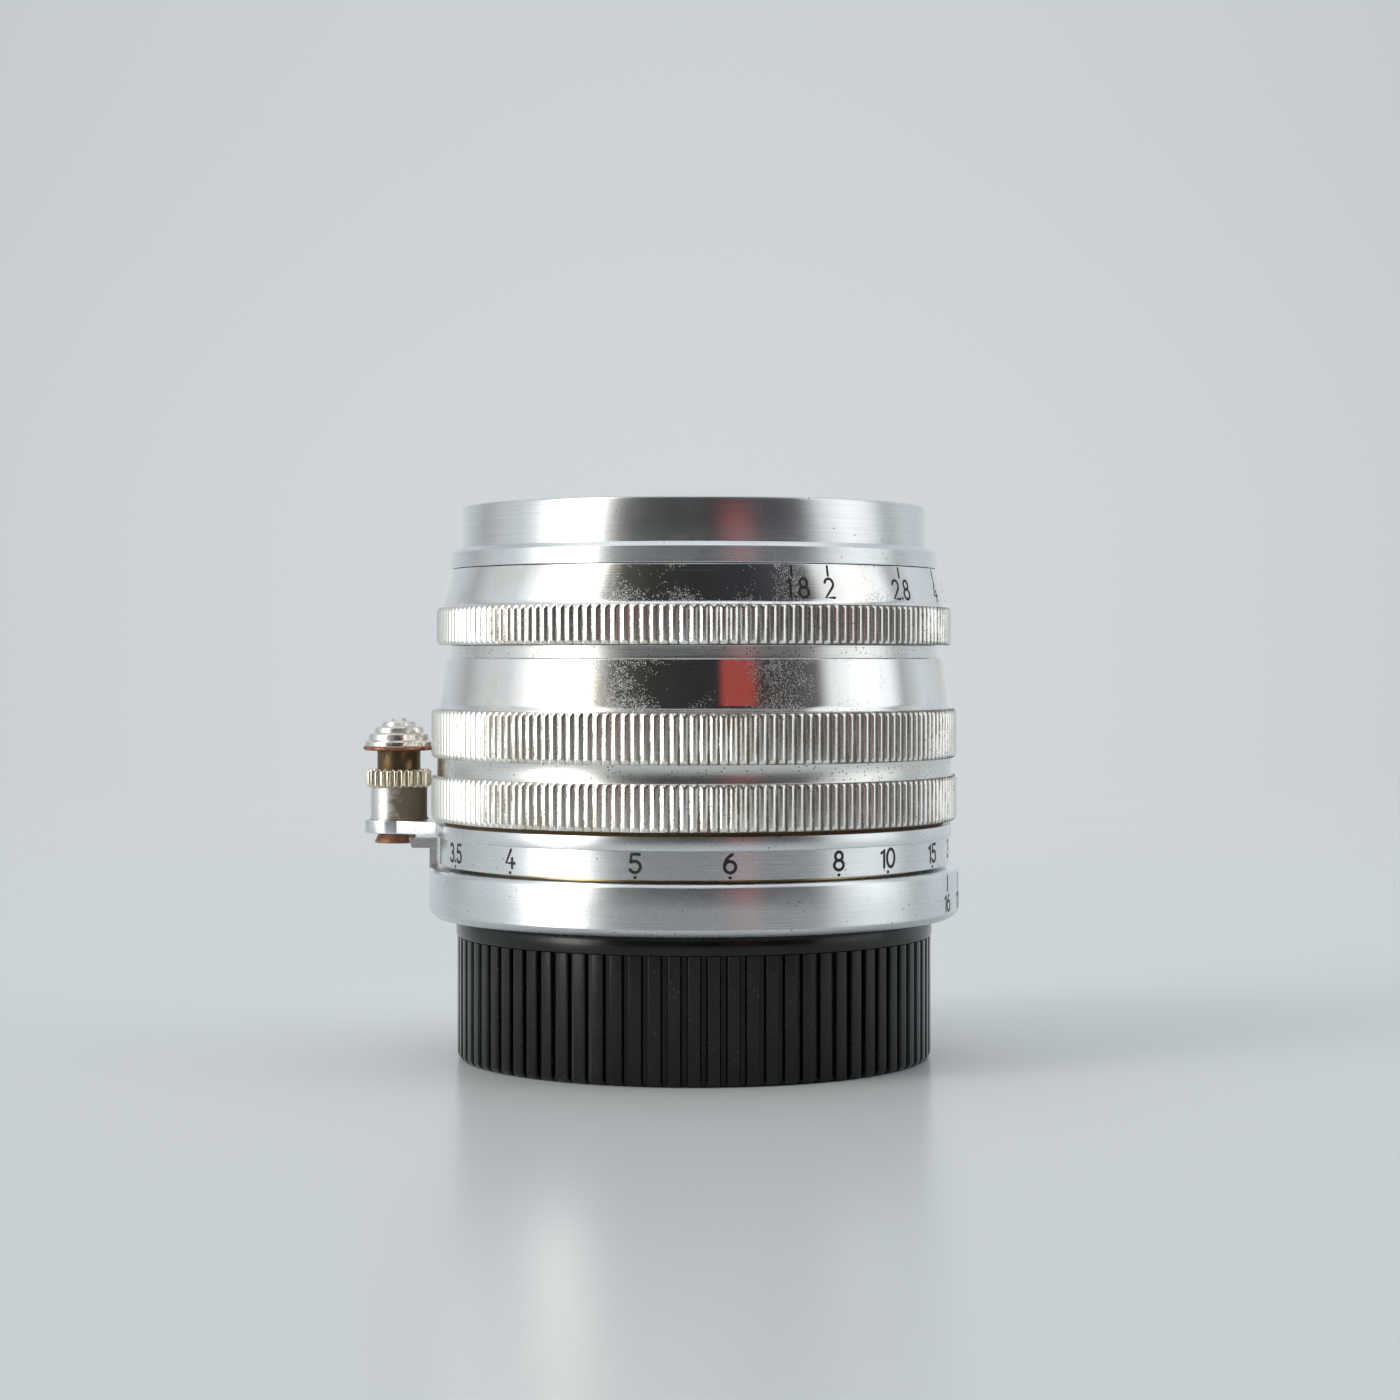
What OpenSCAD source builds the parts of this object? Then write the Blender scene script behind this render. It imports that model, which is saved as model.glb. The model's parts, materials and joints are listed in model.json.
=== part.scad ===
// Classic 50 mm f/1.8 screw-mount camera lens in chromed brass, standing on its ribbed rear cap.
// Origin: centre of the mount's seating face. +Z points out of the front glass.
// Azimuths are counted from -Y, positive towards +X, so azimuth 0 faces the viewer.

/* [Mount] */
// Radius of the 39 mm x 26 tpi screw thread
thread_r = 19.5; // [19.4:0.05:19.5]
// Length of the threaded tube behind the seating face
thread_len = 5; // [4.6:0.1:5.2]

/* [Base ring] */
// Outer radius of the fixed base ring
base_r = 24; // [23.9:0.1:24.2]
// Height of the base ring's top above the seating face
base_top = 4.4; // [4.2:0.1:4.4]

/* [Focusing ring] */
// Radius over the tips of the focusing knurl
focus_r = 23.8; // [23.7:0.1:23.9]
// Number of teeth around the focusing knurl
focus_teeth = 180; // [120:12:180]
// Depth of the knurl's valleys
knurl_depth = 0.36; // [0.2:0.02:0.38]

/* [Barrel] */
// Radius at the foot of the polished barrel cone
cone_foot_r = 23.3; // [23:0.1:23.4]
// Radius at the top of the polished barrel cone
cone_top_r = 22.64; // [22.4:0.04:22.8]

/* [Aperture ring] */
// Radius over the tips of the aperture knurl
aperture_r = 23.3; // [23.2:0.1:23.4]
// Number of teeth around the aperture knurl
aperture_teeth = 174; // [120:6:180]
// Turn of the aperture ring from its rest mark to full aperture
aperture_open = 75.9; // [60:0.1:76]
// Turn of the aperture ring from its rest mark to the smallest aperture
aperture_close = 18.4; // [10:0.1:18.5]

/* [Front] */
// Outer radius of the front rim
rim_r = 21; // [20.8:0.1:21.2]
// Height of the front rim's top above the seating face
rim_top = 36.8; // [36.6:0.1:37.2]
// Wall radius of the 40 mm filter thread
filter_r = 19.73; // [19.73:0.01:19.8]

/* [Iris] */
// Number of iris blades; the list of nodes names nine
blade_count = 9; // [9:1:9]
// Swing of a blade from full to smallest aperture
blade_swing = 34.5; // [30:0.5:34.5]
// Radius of the circle of blade pivots
pivot_r = 14.2; // [14:0.1:14.2]

/* [Lock button] */
// Distance of the button's post from the lens axis
post_dist = 27.5; // [27.5:0.1:27.8]
// Azimuth of the button's post with the lens set to infinity
post_azimuth = -98; // [-102:1:-98]
// Travel of the button when it is pressed
press_travel = 1.5; // [1:0.1:1.5]

/* [Rear cap] */
// Radius over the cap's ribs
cap_r = 21.45; // [21.3:0.05:21.5]
// Height of the cap below the seating face
cap_height = 12.8; // [12.4:0.1:13.2]
// Number of ribs around the cap
cap_ribs = 80; // [60:4:90]

/* [Hidden] */
$fn = 180;
TURN = 360;
EPS = 0.01;      // overshoot of a cutting tool
run_fit = 0.03;  // radial clearance of a running fit
end_gap = 0.05;  // axial clearance between a turning ring and its neighbour

// Heights of the rings above the seating face, from the rear to the front
scale_bottom = 4.7;
plate_bottom = 7.15;
plate_top = 8.35;
focus_bottom = 8.7;
groove_bottom = 12.7;
groove_top = 14.3;
focus_top = 18.6;
cone_top = 23.2;
neck_top = 24.3;
knurl_bottom = neck_top + end_gap;
knurl_top = 27.7;
index_bottom = 31.2;
index_top = 33;

// Mount ring, and the guide key screwed inside it
mount_flange_r = 21.8;
mount_flange_t = 1.6;
mount_bore = 18.35;
key_in = 15.75;
key_half_w = 1.5;
key_top = 1.7 - thread_len;
key_screw_r = 0.55;
key_screw_z = 0.85 - thread_len;

// Radii and heights shared by nested tubes
skirt_bore = 21.3;        // inside of everything that slides over the fixed helicoid
helicoid_out = 21;        // outside of the fixed helicoid
helicoid_pitch_r = 18.2;  // where the two helicoids meet
inner_bore = 17.35;       // bore of the moving helicoid
cam_r = 16.5;             // outside of the rangefinder cam
cam_bore = 14.6;
cam_rear = -7.5;          // the cam's rear face at infinity
cam_seat = 0.5;           // the cam's flange turns between this step and its retaining ring
cam_top = 2;
web_bottom = 14.7;        // the focusing ring's web clamps the moving helicoid's flange
web_top = 16.2;
web_in = 18.6;
clamp_r = 20.6;           // foot of the lens barrel, inside the focusing ring
barrel_r = 20.3;          // journal on which the aperture ring turns
barrel_bore = 17;
neck_r = 22;
index_r = 22;
cell_r = 15.6;            // outside of the front cell inside the iris sleeve
cell_lip_r = 10.2;        // bore of the front cell below its glass
cell_flange_r = 20;       // the front cell's flange lies inside the index ring
front_seat_r = 19;        // where the black front ring sits in the front cell
front_seat_z = 32.6;
g1_stop = 29.9;           // top of the step beside the front glass
shelf_z = 27.5;           // the front glass's rim rests on the spacer here
chamfer = 0.4;

// Iris stack
plate_z = 11.2;           // bottom of the iris housing
plate_t = 0.9;
housing_top = 15.4;
throat_r = 9.9;           // clear opening of the plates on either side of the blades
blade_z = 12.15;          // lowest blade
blade_step = 0.1;         // one level per blade
blade_t = 0.06;
blade_in = 9.3;           // inner edge of a blade at full aperture
blade_out = 13.4;
blade_span = 118;
tail_len = 3.4;           // from a blade's pivot pin to its drive pin
pivot_pin_r = 0.25;
drive_pin_r = 0.2;
pin_fit = 0.04;
cam_plate_z = 13.15;
cam_plate_t = 1.05;
cam_groove = 0.55;
sleeve_top = 27.2;
sleeve_r = 16.8;
sleeve_bore = 15.8;
aperture_total = aperture_open + aperture_close;
blade_ratio = blade_swing / aperture_total;   // blade swing for each degree of ring turn
blade_rest = blade_ratio * aperture_open;     // swing from full aperture at the rest mark

// Screws
drive_screw_z = 26;
drive_screw_azimuths = [112, 218];
drive_screw_r = 0.7;
drive_head_r = 0.95;
drive_seat = 22.4;        // radius at which the drive screws' heads sit
helicoid_screw_r = 0.55;
helicoid_head_r = 0.9;
helicoid_screw_ring = 19.9;
mount_screw_r = 0.4;
mount_head_r = 0.6;
mount_screw_ring = 20.6;
quarter_turns = [45, 135, 225, 315];

// Infinity catch: a bracket let into the base ring, with a tab beside the button's foot
catch_azimuth = -90;
catch_in = 23.3;
catch_out = 23.95;
catch_half_w = 1.25;      // half of the bracket's width around the ring
catch_foot_z = 2.2;
tab_z = 6;
catch_top = 6.85;
tab_reach = 25.85;
catch_screw_z = 3.2;
catch_screw_r = 0.3;

// Lock button, all heights above the seating face
post_r = 2.6;
collar_bottom = 11.3;
collar_top = 13;
collar_r = 3;
neck_bore = 2.03;
button_neck_r = 1.98;
neck_bottom = 12.4;
bore_floor = 9.2;
stem_r = 1;
stem_fit = 0.05;
cap_seat = collar_top + press_travel + 0.2;
foot_top = 7.1;
foot_bottom = 6.2;
foot_flat = 26.2;         // radius, from the lens axis, of the flat on the foot's inner side
lug_r = 3.15;

// Glass, from the front: centre heights of the surfaces and their radii of curvature
g1_front = 33.4;
g1_back = 29;
g2_front = 28.6;
g2_back = 22.35;
g3_back = 20.45;
g4_front = 7.45;
g4_back = 5.55;
g5_back = 0.05;
g6_front = -0.35;
g6_back = -3.85;
g1_r = 15;
g2_r = 13.6;
g3_r = 12.5;
g4_r = 11.4;
g6_r = 12;
g3_rim = 15.73;           // flat rims around the two hollow surfaces that face the iris
g4_rim = 11.01;

function polar(r, angle) = [r * cos(angle), r * sin(angle)];

// A turned part from its half section, each point [radius, height]
module lathe(points) rotate_extrude() polygon(points);

module tube(r_out, r_in, z0, z1) lathe([[r_in, z0], [r_out, z0], [r_out, z1], [r_in, z1]]);

module cylinder_between(r, z0, z1) translate([0, 0, z0]) cylinder(r = r, h = z1 - z0);

// Moves its children to an azimuth around the lens axis, with their +X pointing outwards
module at_azimuth(azimuth) rotate([0, 0, azimuth - 90]) children();

module at_post() at_azimuth(post_azimuth) translate([post_dist, 0, 0]) children();

// A cylinder that runs outwards along +X
module radial_rod(r, x0, x1, z) translate([x0, 0, z]) rotate([0, 90, 0]) cylinder(r = r, h = x1 - x0);

// A wedge of a full turn, used to cut or keep a stretch of a ring
module wedge(r, from, to, z0, z1) {
    steps = 12;
    translate([0, 0, z0])
        linear_extrude(z1 - z0)
            polygon(concat([[0, 0]], [for (i = [0:steps]) polar(r, from + (to - from) * i / steps)]));
}

// Outline of a ring of teeth: tip_share of each pitch is tip, valley_share is valley floor
function tooth_outline(r_tip, r_root, count, tip_share, valley_share) =
    let (pitch = TURN / count)
    [for (i = [0:count - 1]) each [
        polar(r_tip, pitch * (i - tip_share / 2)),
        polar(r_tip, pitch * (i + tip_share / 2)),
        polar(r_root, pitch * (i + 0.5 - valley_share / 2)),
        polar(r_root, pitch * (i + 0.5 + valley_share / 2))
    ]];

// A band of straight teeth whose ends are chamfered down to the valley floor
module knurl_band(r_tip, depth, count, z0, z1, bore) {
    r_root = r_tip - depth;
    intersection() {
        translate([0, 0, z0])
            linear_extrude(z1 - z0)
                difference() {
                    polygon(tooth_outline(r_tip, r_root, count, 0.3, 0.12));
                    circle(r = bore);
                }
        lathe([
            [bore - 1, z0], [r_root, z0], [r_tip + EPS, z0 + depth],
            [r_tip + EPS, z1 - depth], [r_root, z1], [bore - 1, z1]
        ]);
    }
}

// A slice of a glass ball that bulges towards +Z, with its highest point at z
module ball_up(r, z) translate([0, 0, z - r]) sphere(r = r);

// The same, bulging towards -Z, with its lowest point at z
module ball_down(r, z) translate([0, 0, z + r]) sphere(r = r);

// ---------------------------------------------------------------- rear cap

module rear_cap() color([0.07, 0.07, 0.07]) {
    band_r = 21.55;
    band_bottom = -1.8;
    floor_t = 1.5;
    bevel = 0.5;
    rib_depth = 0.45;
    shoulder = -6.2;
    thread_bore = thread_r + 0.1;
    lower_bore = 18.6;
    lathe([
        [0, -cap_height], [cap_r - bevel - rib_depth, -cap_height], [cap_r - rib_depth, -cap_height + bevel],
        [cap_r - rib_depth, band_bottom], [band_r - 0.2, band_bottom], [band_r, band_bottom + 0.2],
        [band_r, -0.35], [band_r - 0.3, -end_gap], [thread_bore, -end_gap], [thread_bore, shoulder],
        [lower_bore, shoulder], [lower_bore, floor_t - cap_height], [0, floor_t - cap_height]
    ]);
    intersection() {
        translate([0, 0, -cap_height])
            linear_extrude(cap_height + band_bottom)
                difference() {
                    polygon(tooth_outline(cap_r, cap_r - rib_depth, cap_ribs, 0.66, 0.22));
                    circle(r = cap_r - rib_depth - 0.3);
                }
        lathe([
            [cap_r - 2, -cap_height], [cap_r - bevel, -cap_height], [cap_r + EPS, -cap_height + bevel],
            [cap_r + EPS, band_bottom], [cap_r - 2, band_bottom]
        ]);
    }
}

// ---------------------------------------------------------------- fixed mount

module mount_ring() color("silver") difference() {
    lead_in = 0.35;
    relief_depth = 0.5;
    relief_z = -1;
    lathe([
        [mount_bore, -thread_len], [thread_r - lead_in, -thread_len], [thread_r, lead_in - thread_len],
        [thread_r, relief_z], [thread_r - relief_depth, relief_z], [thread_r - relief_depth, 0],
        [mount_flange_r, 0], [mount_flange_r, mount_flange_t], [mount_bore, mount_flange_t]
    ]);
    mount_screw_shapes(mount_head_r, mount_screw_r);
    at_azimuth(0) radial_rod(key_screw_r, key_in, thread_r - 0.3, key_screw_z);
}

module mount_screw_shapes(head_r, shaft_r) {
    for (a = quarter_turns)
        at_azimuth(a) translate([mount_screw_ring, 0, 0]) {
            cylinder(r = head_r, h = 0.5);
            cylinder(r = shaft_r, h = 3.6);
        }
}

module mount_screws() color("dimgray") difference() {
    mount_screw_shapes(mount_head_r, mount_screw_r);
    for (a = quarter_turns)
        at_azimuth(a) translate([mount_screw_ring - 1, -0.1, -EPS]) cube([2, 0.2, 0.2]);
}

module depth_scale_ring() color([0.82, 0.83, 0.85]) difference() {
    rear_chamfer = 0.6;
    front_chamfer = 0.3;
    lathe([
        [mount_flange_r, 0], [base_r - rear_chamfer, 0], [base_r, rear_chamfer],
        [base_r, base_top - front_chamfer], [base_r - front_chamfer, base_top], [helicoid_out, base_top],
        [helicoid_out, mount_flange_t], [mount_flange_r, mount_flange_t]
    ]);
    at_azimuth(catch_azimuth) {
        translate([catch_in, -catch_half_w, catch_foot_z]) cube([2, 2 * catch_half_w, base_top]);
        catch_screw_shapes();
    }
}

module outer_helicoid() color("peru") difference() {
    helicoid_top = 11.9;
    tube(helicoid_out, helicoid_pitch_r + run_fit, mount_flange_t, helicoid_top);
    mount_screw_shapes(mount_head_r, mount_screw_r);
    at_azimuth(catch_azimuth) catch_screw_shapes();
}

module guide_key() color("goldenrod") difference() {
    intersection() {
        at_azimuth(0) translate([key_in, -key_half_w, -thread_len])
            cube([4, 2 * key_half_w, key_top + thread_len]);
        cylinder(r = mount_bore, h = 20, center = true);
    }
    at_azimuth(0) radial_rod(key_screw_r, key_in - 1, thread_r, key_screw_z);
}

module key_screw() color("dimgray") at_azimuth(0) difference() {
    radial_rod(key_screw_r, key_in, thread_r - 0.3, key_screw_z);
    translate([key_in - EPS, -0.1, key_screw_z - 1]) cube([0.25, 0.2, 2]);
}

module catch_screw_shapes() {
    for (y = [-0.7, 0.7])
        translate([0, y, 0]) {
            radial_rod(catch_screw_r, 21.4, catch_out, catch_screw_z);
            radial_rod(catch_screw_r + 0.2, catch_out - 0.25, catch_out, catch_screw_z);
        }
}

module infinity_catch() color([0.75, 0.75, 0.72]) at_azimuth(catch_azimuth) difference() {
    union() {
        translate([catch_in, -catch_half_w, catch_foot_z])
            cube([catch_out - catch_in, 2 * catch_half_w, catch_top - catch_foot_z]);
        // the tab, its end slanted away from the button's foot
        translate([0, catch_half_w, 0]) rotate([90, 0, 0])
            linear_extrude(2 * catch_half_w)
                polygon([
                    [catch_in, tab_z], [tab_reach - 0.3, tab_z], [tab_reach, catch_top],
                    [catch_in, catch_top]
                ]);
    }
    catch_screw_shapes();
}

module catch_screws() color("dimgray") at_azimuth(catch_azimuth) difference() {
    catch_screw_shapes();
    for (y = [-0.7, 0.7])
        translate([catch_out - 0.1, y - 0.06, catch_screw_z - 1]) cube([1, 0.12, 2]);
}

// ---------------------------------------------------------------- rangefinder cam

module rangefinder_cam() color("goldenrod") difference() {
    lathe([
        [cam_bore, cam_rear], [cam_r, cam_rear], [cam_r, cam_seat + run_fit],
        [inner_bore - end_gap, cam_seat + run_fit], [inner_bore - end_gap, cam_top], [cam_bore, cam_top]
    ]);
    // keyway for the guide key, open to the rear
    at_azimuth(0) translate([key_in - 0.15, -key_half_w - 0.05, cam_rear - 1])
        cube([2, 2 * key_half_w + 0.1, key_top - cam_rear + 1.1]);
}

// ---------------------------------------------------------------- focusing group

module inner_helicoid() color("peru") difference() {
    rear_z = -3;
    flange_z = 13.2;
    lathe([
        [cam_r + end_gap, rear_z], [helicoid_pitch_r, rear_z], [helicoid_pitch_r, flange_z],
        [skirt_bore, flange_z], [skirt_bore, web_bottom], [inner_bore, web_bottom], [inner_bore, cam_seat],
        [cam_r + end_gap, cam_seat]
    ]);
    helicoid_screw_shapes();
}

module cam_retaining_ring() color("dimgray") difference() {
    tube(inner_bore, 15.9, cam_top + run_fit, 3);
    // two slots for a pin spanner
    for (a = [0, 180])
        at_azimuth(a) translate([15, -0.5, 2.5]) cube([1.9, 1, 1]);
}

module helicoid_screw_shapes() {
    tip_z = 13.5;
    head_t = 0.7;
    for (a = quarter_turns)
        at_azimuth(a) translate([helicoid_screw_ring, 0, 0]) {
            cylinder_between(helicoid_screw_r, tip_z, web_top);
            cylinder_between(helicoid_head_r, web_top - head_t, web_top);
        }
}

module helicoid_screws() color("dimgray") difference() {
    helicoid_screw_shapes();
    for (a = quarter_turns)
        at_azimuth(a) translate([helicoid_screw_ring - 1, -0.12, web_top - 0.3]) cube([2, 0.24, 1]);
}

module focusing_ring() color([0.78, 0.77, 0.73]) {
    root = focus_r - knurl_depth;
    spigot_r = 22.6;
    groove_r = 23.3;
    difference() {
        lathe([
            [skirt_bore, plate_top], [spigot_r, plate_top], [spigot_r, focus_bottom], [root, focus_bottom],
            [root, groove_bottom], [groove_r, groove_bottom], [groove_r, groove_top], [root, groove_top],
            [root, focus_top], [clamp_r, focus_top], [clamp_r, web_top], [web_in, web_top],
            [web_in, web_bottom], [skirt_bore, web_bottom]
        ]);
        helicoid_screw_shapes();
    }
    knurl_band(focus_r, knurl_depth, focus_teeth, focus_bottom, groove_bottom, root - 0.3);
    knurl_band(focus_r, knurl_depth, focus_teeth, groove_top, focus_top, root - 0.3);
}

module distance_scale_ring() color([0.82, 0.83, 0.85])
    tube(23.05, skirt_bore, scale_bottom, plate_bottom);

module lever_plate() color([0.82, 0.83, 0.85]) difference() {
    plate_r = 23.3;
    side = 13;
    union() {
        cylinder_between(plate_r, plate_bottom, plate_top);
        at_post() cylinder_between(lug_r, plate_bottom, plate_top);
        // straight flanks from the ring to the round end of the lug
        at_azimuth(post_azimuth)
            translate([0, 0, plate_bottom])
                linear_extrude(plate_top - plate_bottom)
                    polygon([
                        polar(plate_r, -side), [post_dist, -lug_r], [post_dist, lug_r], polar(plate_r, side), [0, 0]
                    ]);
    }
    cylinder_between(skirt_bore, plate_bottom - 1, plate_top + 1);
    at_post() cylinder_between(stem_r + stem_fit, plate_bottom - 1, plate_top + 1);
}

module lever_post() color([0.75, 0.75, 0.72]) at_post() lathe([
    [stem_r + stem_fit, plate_top], [post_r, plate_top], [post_r, collar_bottom], [neck_bore, collar_bottom],
    [neck_bore, bore_floor], [stem_r + stem_fit, bore_floor]
]);

module lever_collar() color([0.6, 0.52, 0.42]) at_post() {
    teeth = 26;
    depth = 0.25;
    tube(collar_r - depth, neck_bore, collar_bottom, collar_top);
    knurl_band(collar_r, depth, teeth, collar_bottom, collar_top, collar_r - 2 * depth);
}

// ---------------------------------------------------------------- optical head

module lens_barrel() color("gray") difference() {
    foot_z = 18;
    slot_half_h = 0.9;
    slot_spare = 2.5;    // degrees left beyond the screw at each end of its travel
    lathe([
        [barrel_bore, housing_top], [inner_bore, housing_top], [inner_bore, web_bottom],
        [web_in, web_bottom], [web_in, web_top], [clamp_r, web_top], [clamp_r, foot_z], [barrel_r, foot_z],
        [barrel_r, index_bottom], [barrel_bore, index_bottom]
    ]);
    // one slot for each drive screw, as long as the ring's whole turn
    for (a = drive_screw_azimuths)
        at_azimuth(a)
            wedge(barrel_r + 2, -slot_spare - aperture_close, slot_spare + aperture_open,
                drive_screw_z - slot_half_h, drive_screw_z + slot_half_h);
}

module barrel_cone() color([0.85, 0.85, 0.86]) lathe([
    [barrel_r, focus_top], [cone_foot_r, focus_top], [cone_top_r, cone_top], [neck_r, cone_top],
    [neck_r, neck_top], [barrel_r, neck_top]
]);

module index_ring() color([0.82, 0.83, 0.85]) lathe([
    [cell_flange_r, index_bottom], [index_r, index_bottom], [index_r, index_top - chamfer],
    [index_r - chamfer, index_top], [cell_flange_r, index_top]
]);

module filter_ring() color([0.82, 0.83, 0.85]) {
    edge = 0.3;
    relief_r = 20.1;
    relief_top = index_top + 0.6;
    lathe([
        [relief_r, index_top], [rim_r, index_top], [rim_r, rim_top - edge], [rim_r - edge, rim_top],
        [filter_r + edge, rim_top], [filter_r, rim_top - edge], [filter_r, relief_top],
        [relief_r, relief_top]
    ]);
}

// The black funnel that holds the front glass down
module name_ring() color([0.06, 0.06, 0.06]) {
    lip_r = 14.2;
    outer_r = 19.7;
    top_z = 33.3;
    lathe([
        [lip_r, 29.65], [g1_r, 29.3], [g1_r, g1_stop], [front_seat_r, front_seat_z],
        [front_seat_r, index_top], [outer_r, index_top], [outer_r, top_z], [outer_r - 0.5, top_z],
        [lip_r, 30.05]
    ]);
}

module front_cell() color("dimgray") {
    bottom_z = 15.1;
    step_z = 27.6;
    lathe([
        [cell_lip_r, bottom_z], [cell_r, bottom_z], [cell_r, step_z], [barrel_bore, step_z],
        [barrel_bore, index_bottom], [cell_flange_r, index_bottom], [cell_flange_r, index_top],
        [front_seat_r, index_top], [front_seat_r, front_seat_z], [g1_r, g1_stop], [g1_r, shelf_z],
        [g2_r, shelf_z], [g2_r, g2_back], [g3_r, g2_back], [g3_r, g3_rim], [cell_lip_r, g3_rim]
    ]);
}

module front_spacer() color([0.1, 0.1, 0.1]) {
    bore = 13;
    lathe([[bore, 23.7], [g2_r, 23.12], [g2_r, shelf_z], [bore, 27.7]]);
}

module iris_housing() color("dimgray") difference() {
    wall_in = 16.95;
    lathe([
        [throat_r, plate_z], [inner_bore, plate_z], [inner_bore, housing_top], [wall_in, housing_top],
        [wall_in, plate_z + plate_t], [throat_r, plate_z + plate_t]
    ]);
    for (i = [0:blade_count - 1])
        rotate([0, 0, i * TURN / blade_count]) translate([pivot_r, 0, 0])
            cylinder_between(pivot_pin_r + pin_fit, plate_z - 1, plate_z + 2);
}

module rear_cell() color("dimgray") {
    rear_z = -3.6;
    body_r = 14;
    flange_z = 10.2;
    lip_r = 10;
    g6_step = -0.9;
    lathe([
        [g6_r, rear_z], [body_r, rear_z], [body_r, flange_z], [inner_bore, flange_z],
        [inner_bore, plate_z], [lip_r, plate_z], [lip_r, g4_rim], [g4_r, g4_rim], [g4_r, g6_step],
        [g6_r, g6_step]
    ]);
}

module rear_spacer() color([0.1, 0.1, 0.1]) tube(g4_r, 11, -1, 3.5);

module rear_retainer() color([0.08, 0.08, 0.08]) difference() {
    bore = 11.2;
    tube(g6_r, bore, -3.5, -2.25);
    // two slots for a pin spanner
    for (a = [0, 180])
        at_azimuth(a) translate([bore - 0.2, -0.5, -4]) cube([0.7, 1, 1]);
}

// ---------------------------------------------------------------- glass

GLASS = [0.62, 0.7, 0.8, 0.5];

module glass_1() color(GLASS) difference() {
    intersection() {
        ball_up(28.1, g1_front);
        cylinder_between(g1_r, g1_back - 3, g1_front + 1);
    }
    ball_up(76.1, g1_back);
}

module glass_2() color(GLASS) intersection() {
    ball_up(19.5, g2_front);
    cylinder_between(g2_r, g2_back, g2_front + 1);
}

module glass_3() color(GLASS) difference() {
    cylinder_between(g3_r, g3_rim, g2_back);
    ball_up(12.12, g3_back);
}

module glass_4() color(GLASS) difference() {
    cylinder_between(g4_r, g4_back, g4_rim);
    ball_down(14.19, g4_front);
}

module glass_5() color(GLASS) intersection() {
    ball_down(18.96, g5_back);
    cylinder_between(g4_r, g5_back - 1, g4_back);
}

module glass_6() color(GLASS) intersection() {
    ball_up(88.7, g6_front);
    ball_down(39.7, g6_back);
    cylinder_between(g6_r, g6_back - 1, g6_front + 1);
}

// ---------------------------------------------------------------- aperture

module drive_screw_shapes(head_r) {
    tip = 15.9;
    head_t = 0.6;
    for (a = drive_screw_azimuths)
        at_azimuth(a) {
            radial_rod(drive_screw_r, tip, drive_seat, drive_screw_z);
            radial_rod(head_r, drive_seat, drive_seat + head_t, drive_screw_z);
        }
}

module aperture_ring() color([0.8, 0.8, 0.78]) {
    depth = 0.3;
    root = aperture_r - depth;
    bore = barrel_r + run_fit;
    cone_foot = 22.8;
    cone_tip = 22.1;
    difference() {
        union() {
            lathe([
                [bore, knurl_bottom], [root, knurl_bottom], [root, knurl_top], [cone_foot, knurl_top],
                [cone_tip, index_bottom - end_gap], [bore, index_bottom - end_gap]
            ]);
            knurl_band(aperture_r, depth, aperture_teeth, knurl_bottom, knurl_top, root - depth);
        }
        drive_screw_shapes(drive_head_r);
        for (a = drive_screw_azimuths)
            at_azimuth(a) radial_rod(drive_head_r, drive_seat, aperture_r + 1, drive_screw_z);
    }
}

module drive_screws() color("dimgray") difference() {
    drive_screw_shapes(drive_head_r - 0.05);
    for (a = drive_screw_azimuths)
        at_azimuth(a) translate([drive_seat + 0.35, -0.1, drive_screw_z - 1]) cube([1, 0.2, 2]);
}

// Place of a blade's drive pin, in the first blade's frame, at a given swing from full aperture
function drive_pin(swing) = [pivot_r + tail_len * sin(swing), tail_len * cos(swing)];

function turned(p, angle) = [p[0] * cos(angle) - p[1] * sin(angle), p[0] * sin(angle) + p[1] * cos(angle)];

// The same pin seen from the cam ring when the aperture ring is turned from its rest mark
function groove_point(turn) = turned(drive_pin(blade_rest - blade_ratio * turn), -turn);

function groove_side(turn, half_w) =
    let (step = 0.5, ahead = groove_point(turn + step) - groove_point(turn - step), long = norm(ahead))
    groove_point(turn) + half_w * [-ahead[1], ahead[0]] / long;

module iris_cam_ring() color("dimgray") difference() {
    plate_r = 16.9;
    cam_plate_top = cam_plate_z + cam_plate_t;
    lathe([
        [throat_r, cam_plate_z], [plate_r, cam_plate_z], [plate_r, cam_plate_top],
        [sleeve_r, cam_plate_top], [sleeve_r, sleeve_top], [sleeve_bore, sleeve_top],
        [sleeve_bore, cam_plate_top], [throat_r, cam_plate_top]
    ]);
    // a curved groove under the plate for each blade's drive pin
    half_w = drive_pin_r + pin_fit;
    turns = [for (i = [0:24]) -aperture_close + aperture_total * i / 24];
    left = [for (t = turns) groove_side(t, half_w)];
    right = [for (i = [len(turns) - 1:-1:0]) groove_side(turns[i], -half_w)];
    for (i = [0:blade_count - 1])
        rotate([0, 0, i * TURN / blade_count]) {
            translate([0, 0, cam_plate_z - 1])
                linear_extrude(1 + cam_groove)
                    polygon(concat(left, right));
            for (t = [-aperture_close, aperture_open])
                translate(groove_point(t)) cylinder_between(half_w, cam_plate_z - 1, cam_plate_z + cam_groove);
        }
    for (a = drive_screw_azimuths)
        at_azimuth(a) radial_rod(drive_screw_r, 15, 18, drive_screw_z);
}

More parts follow.
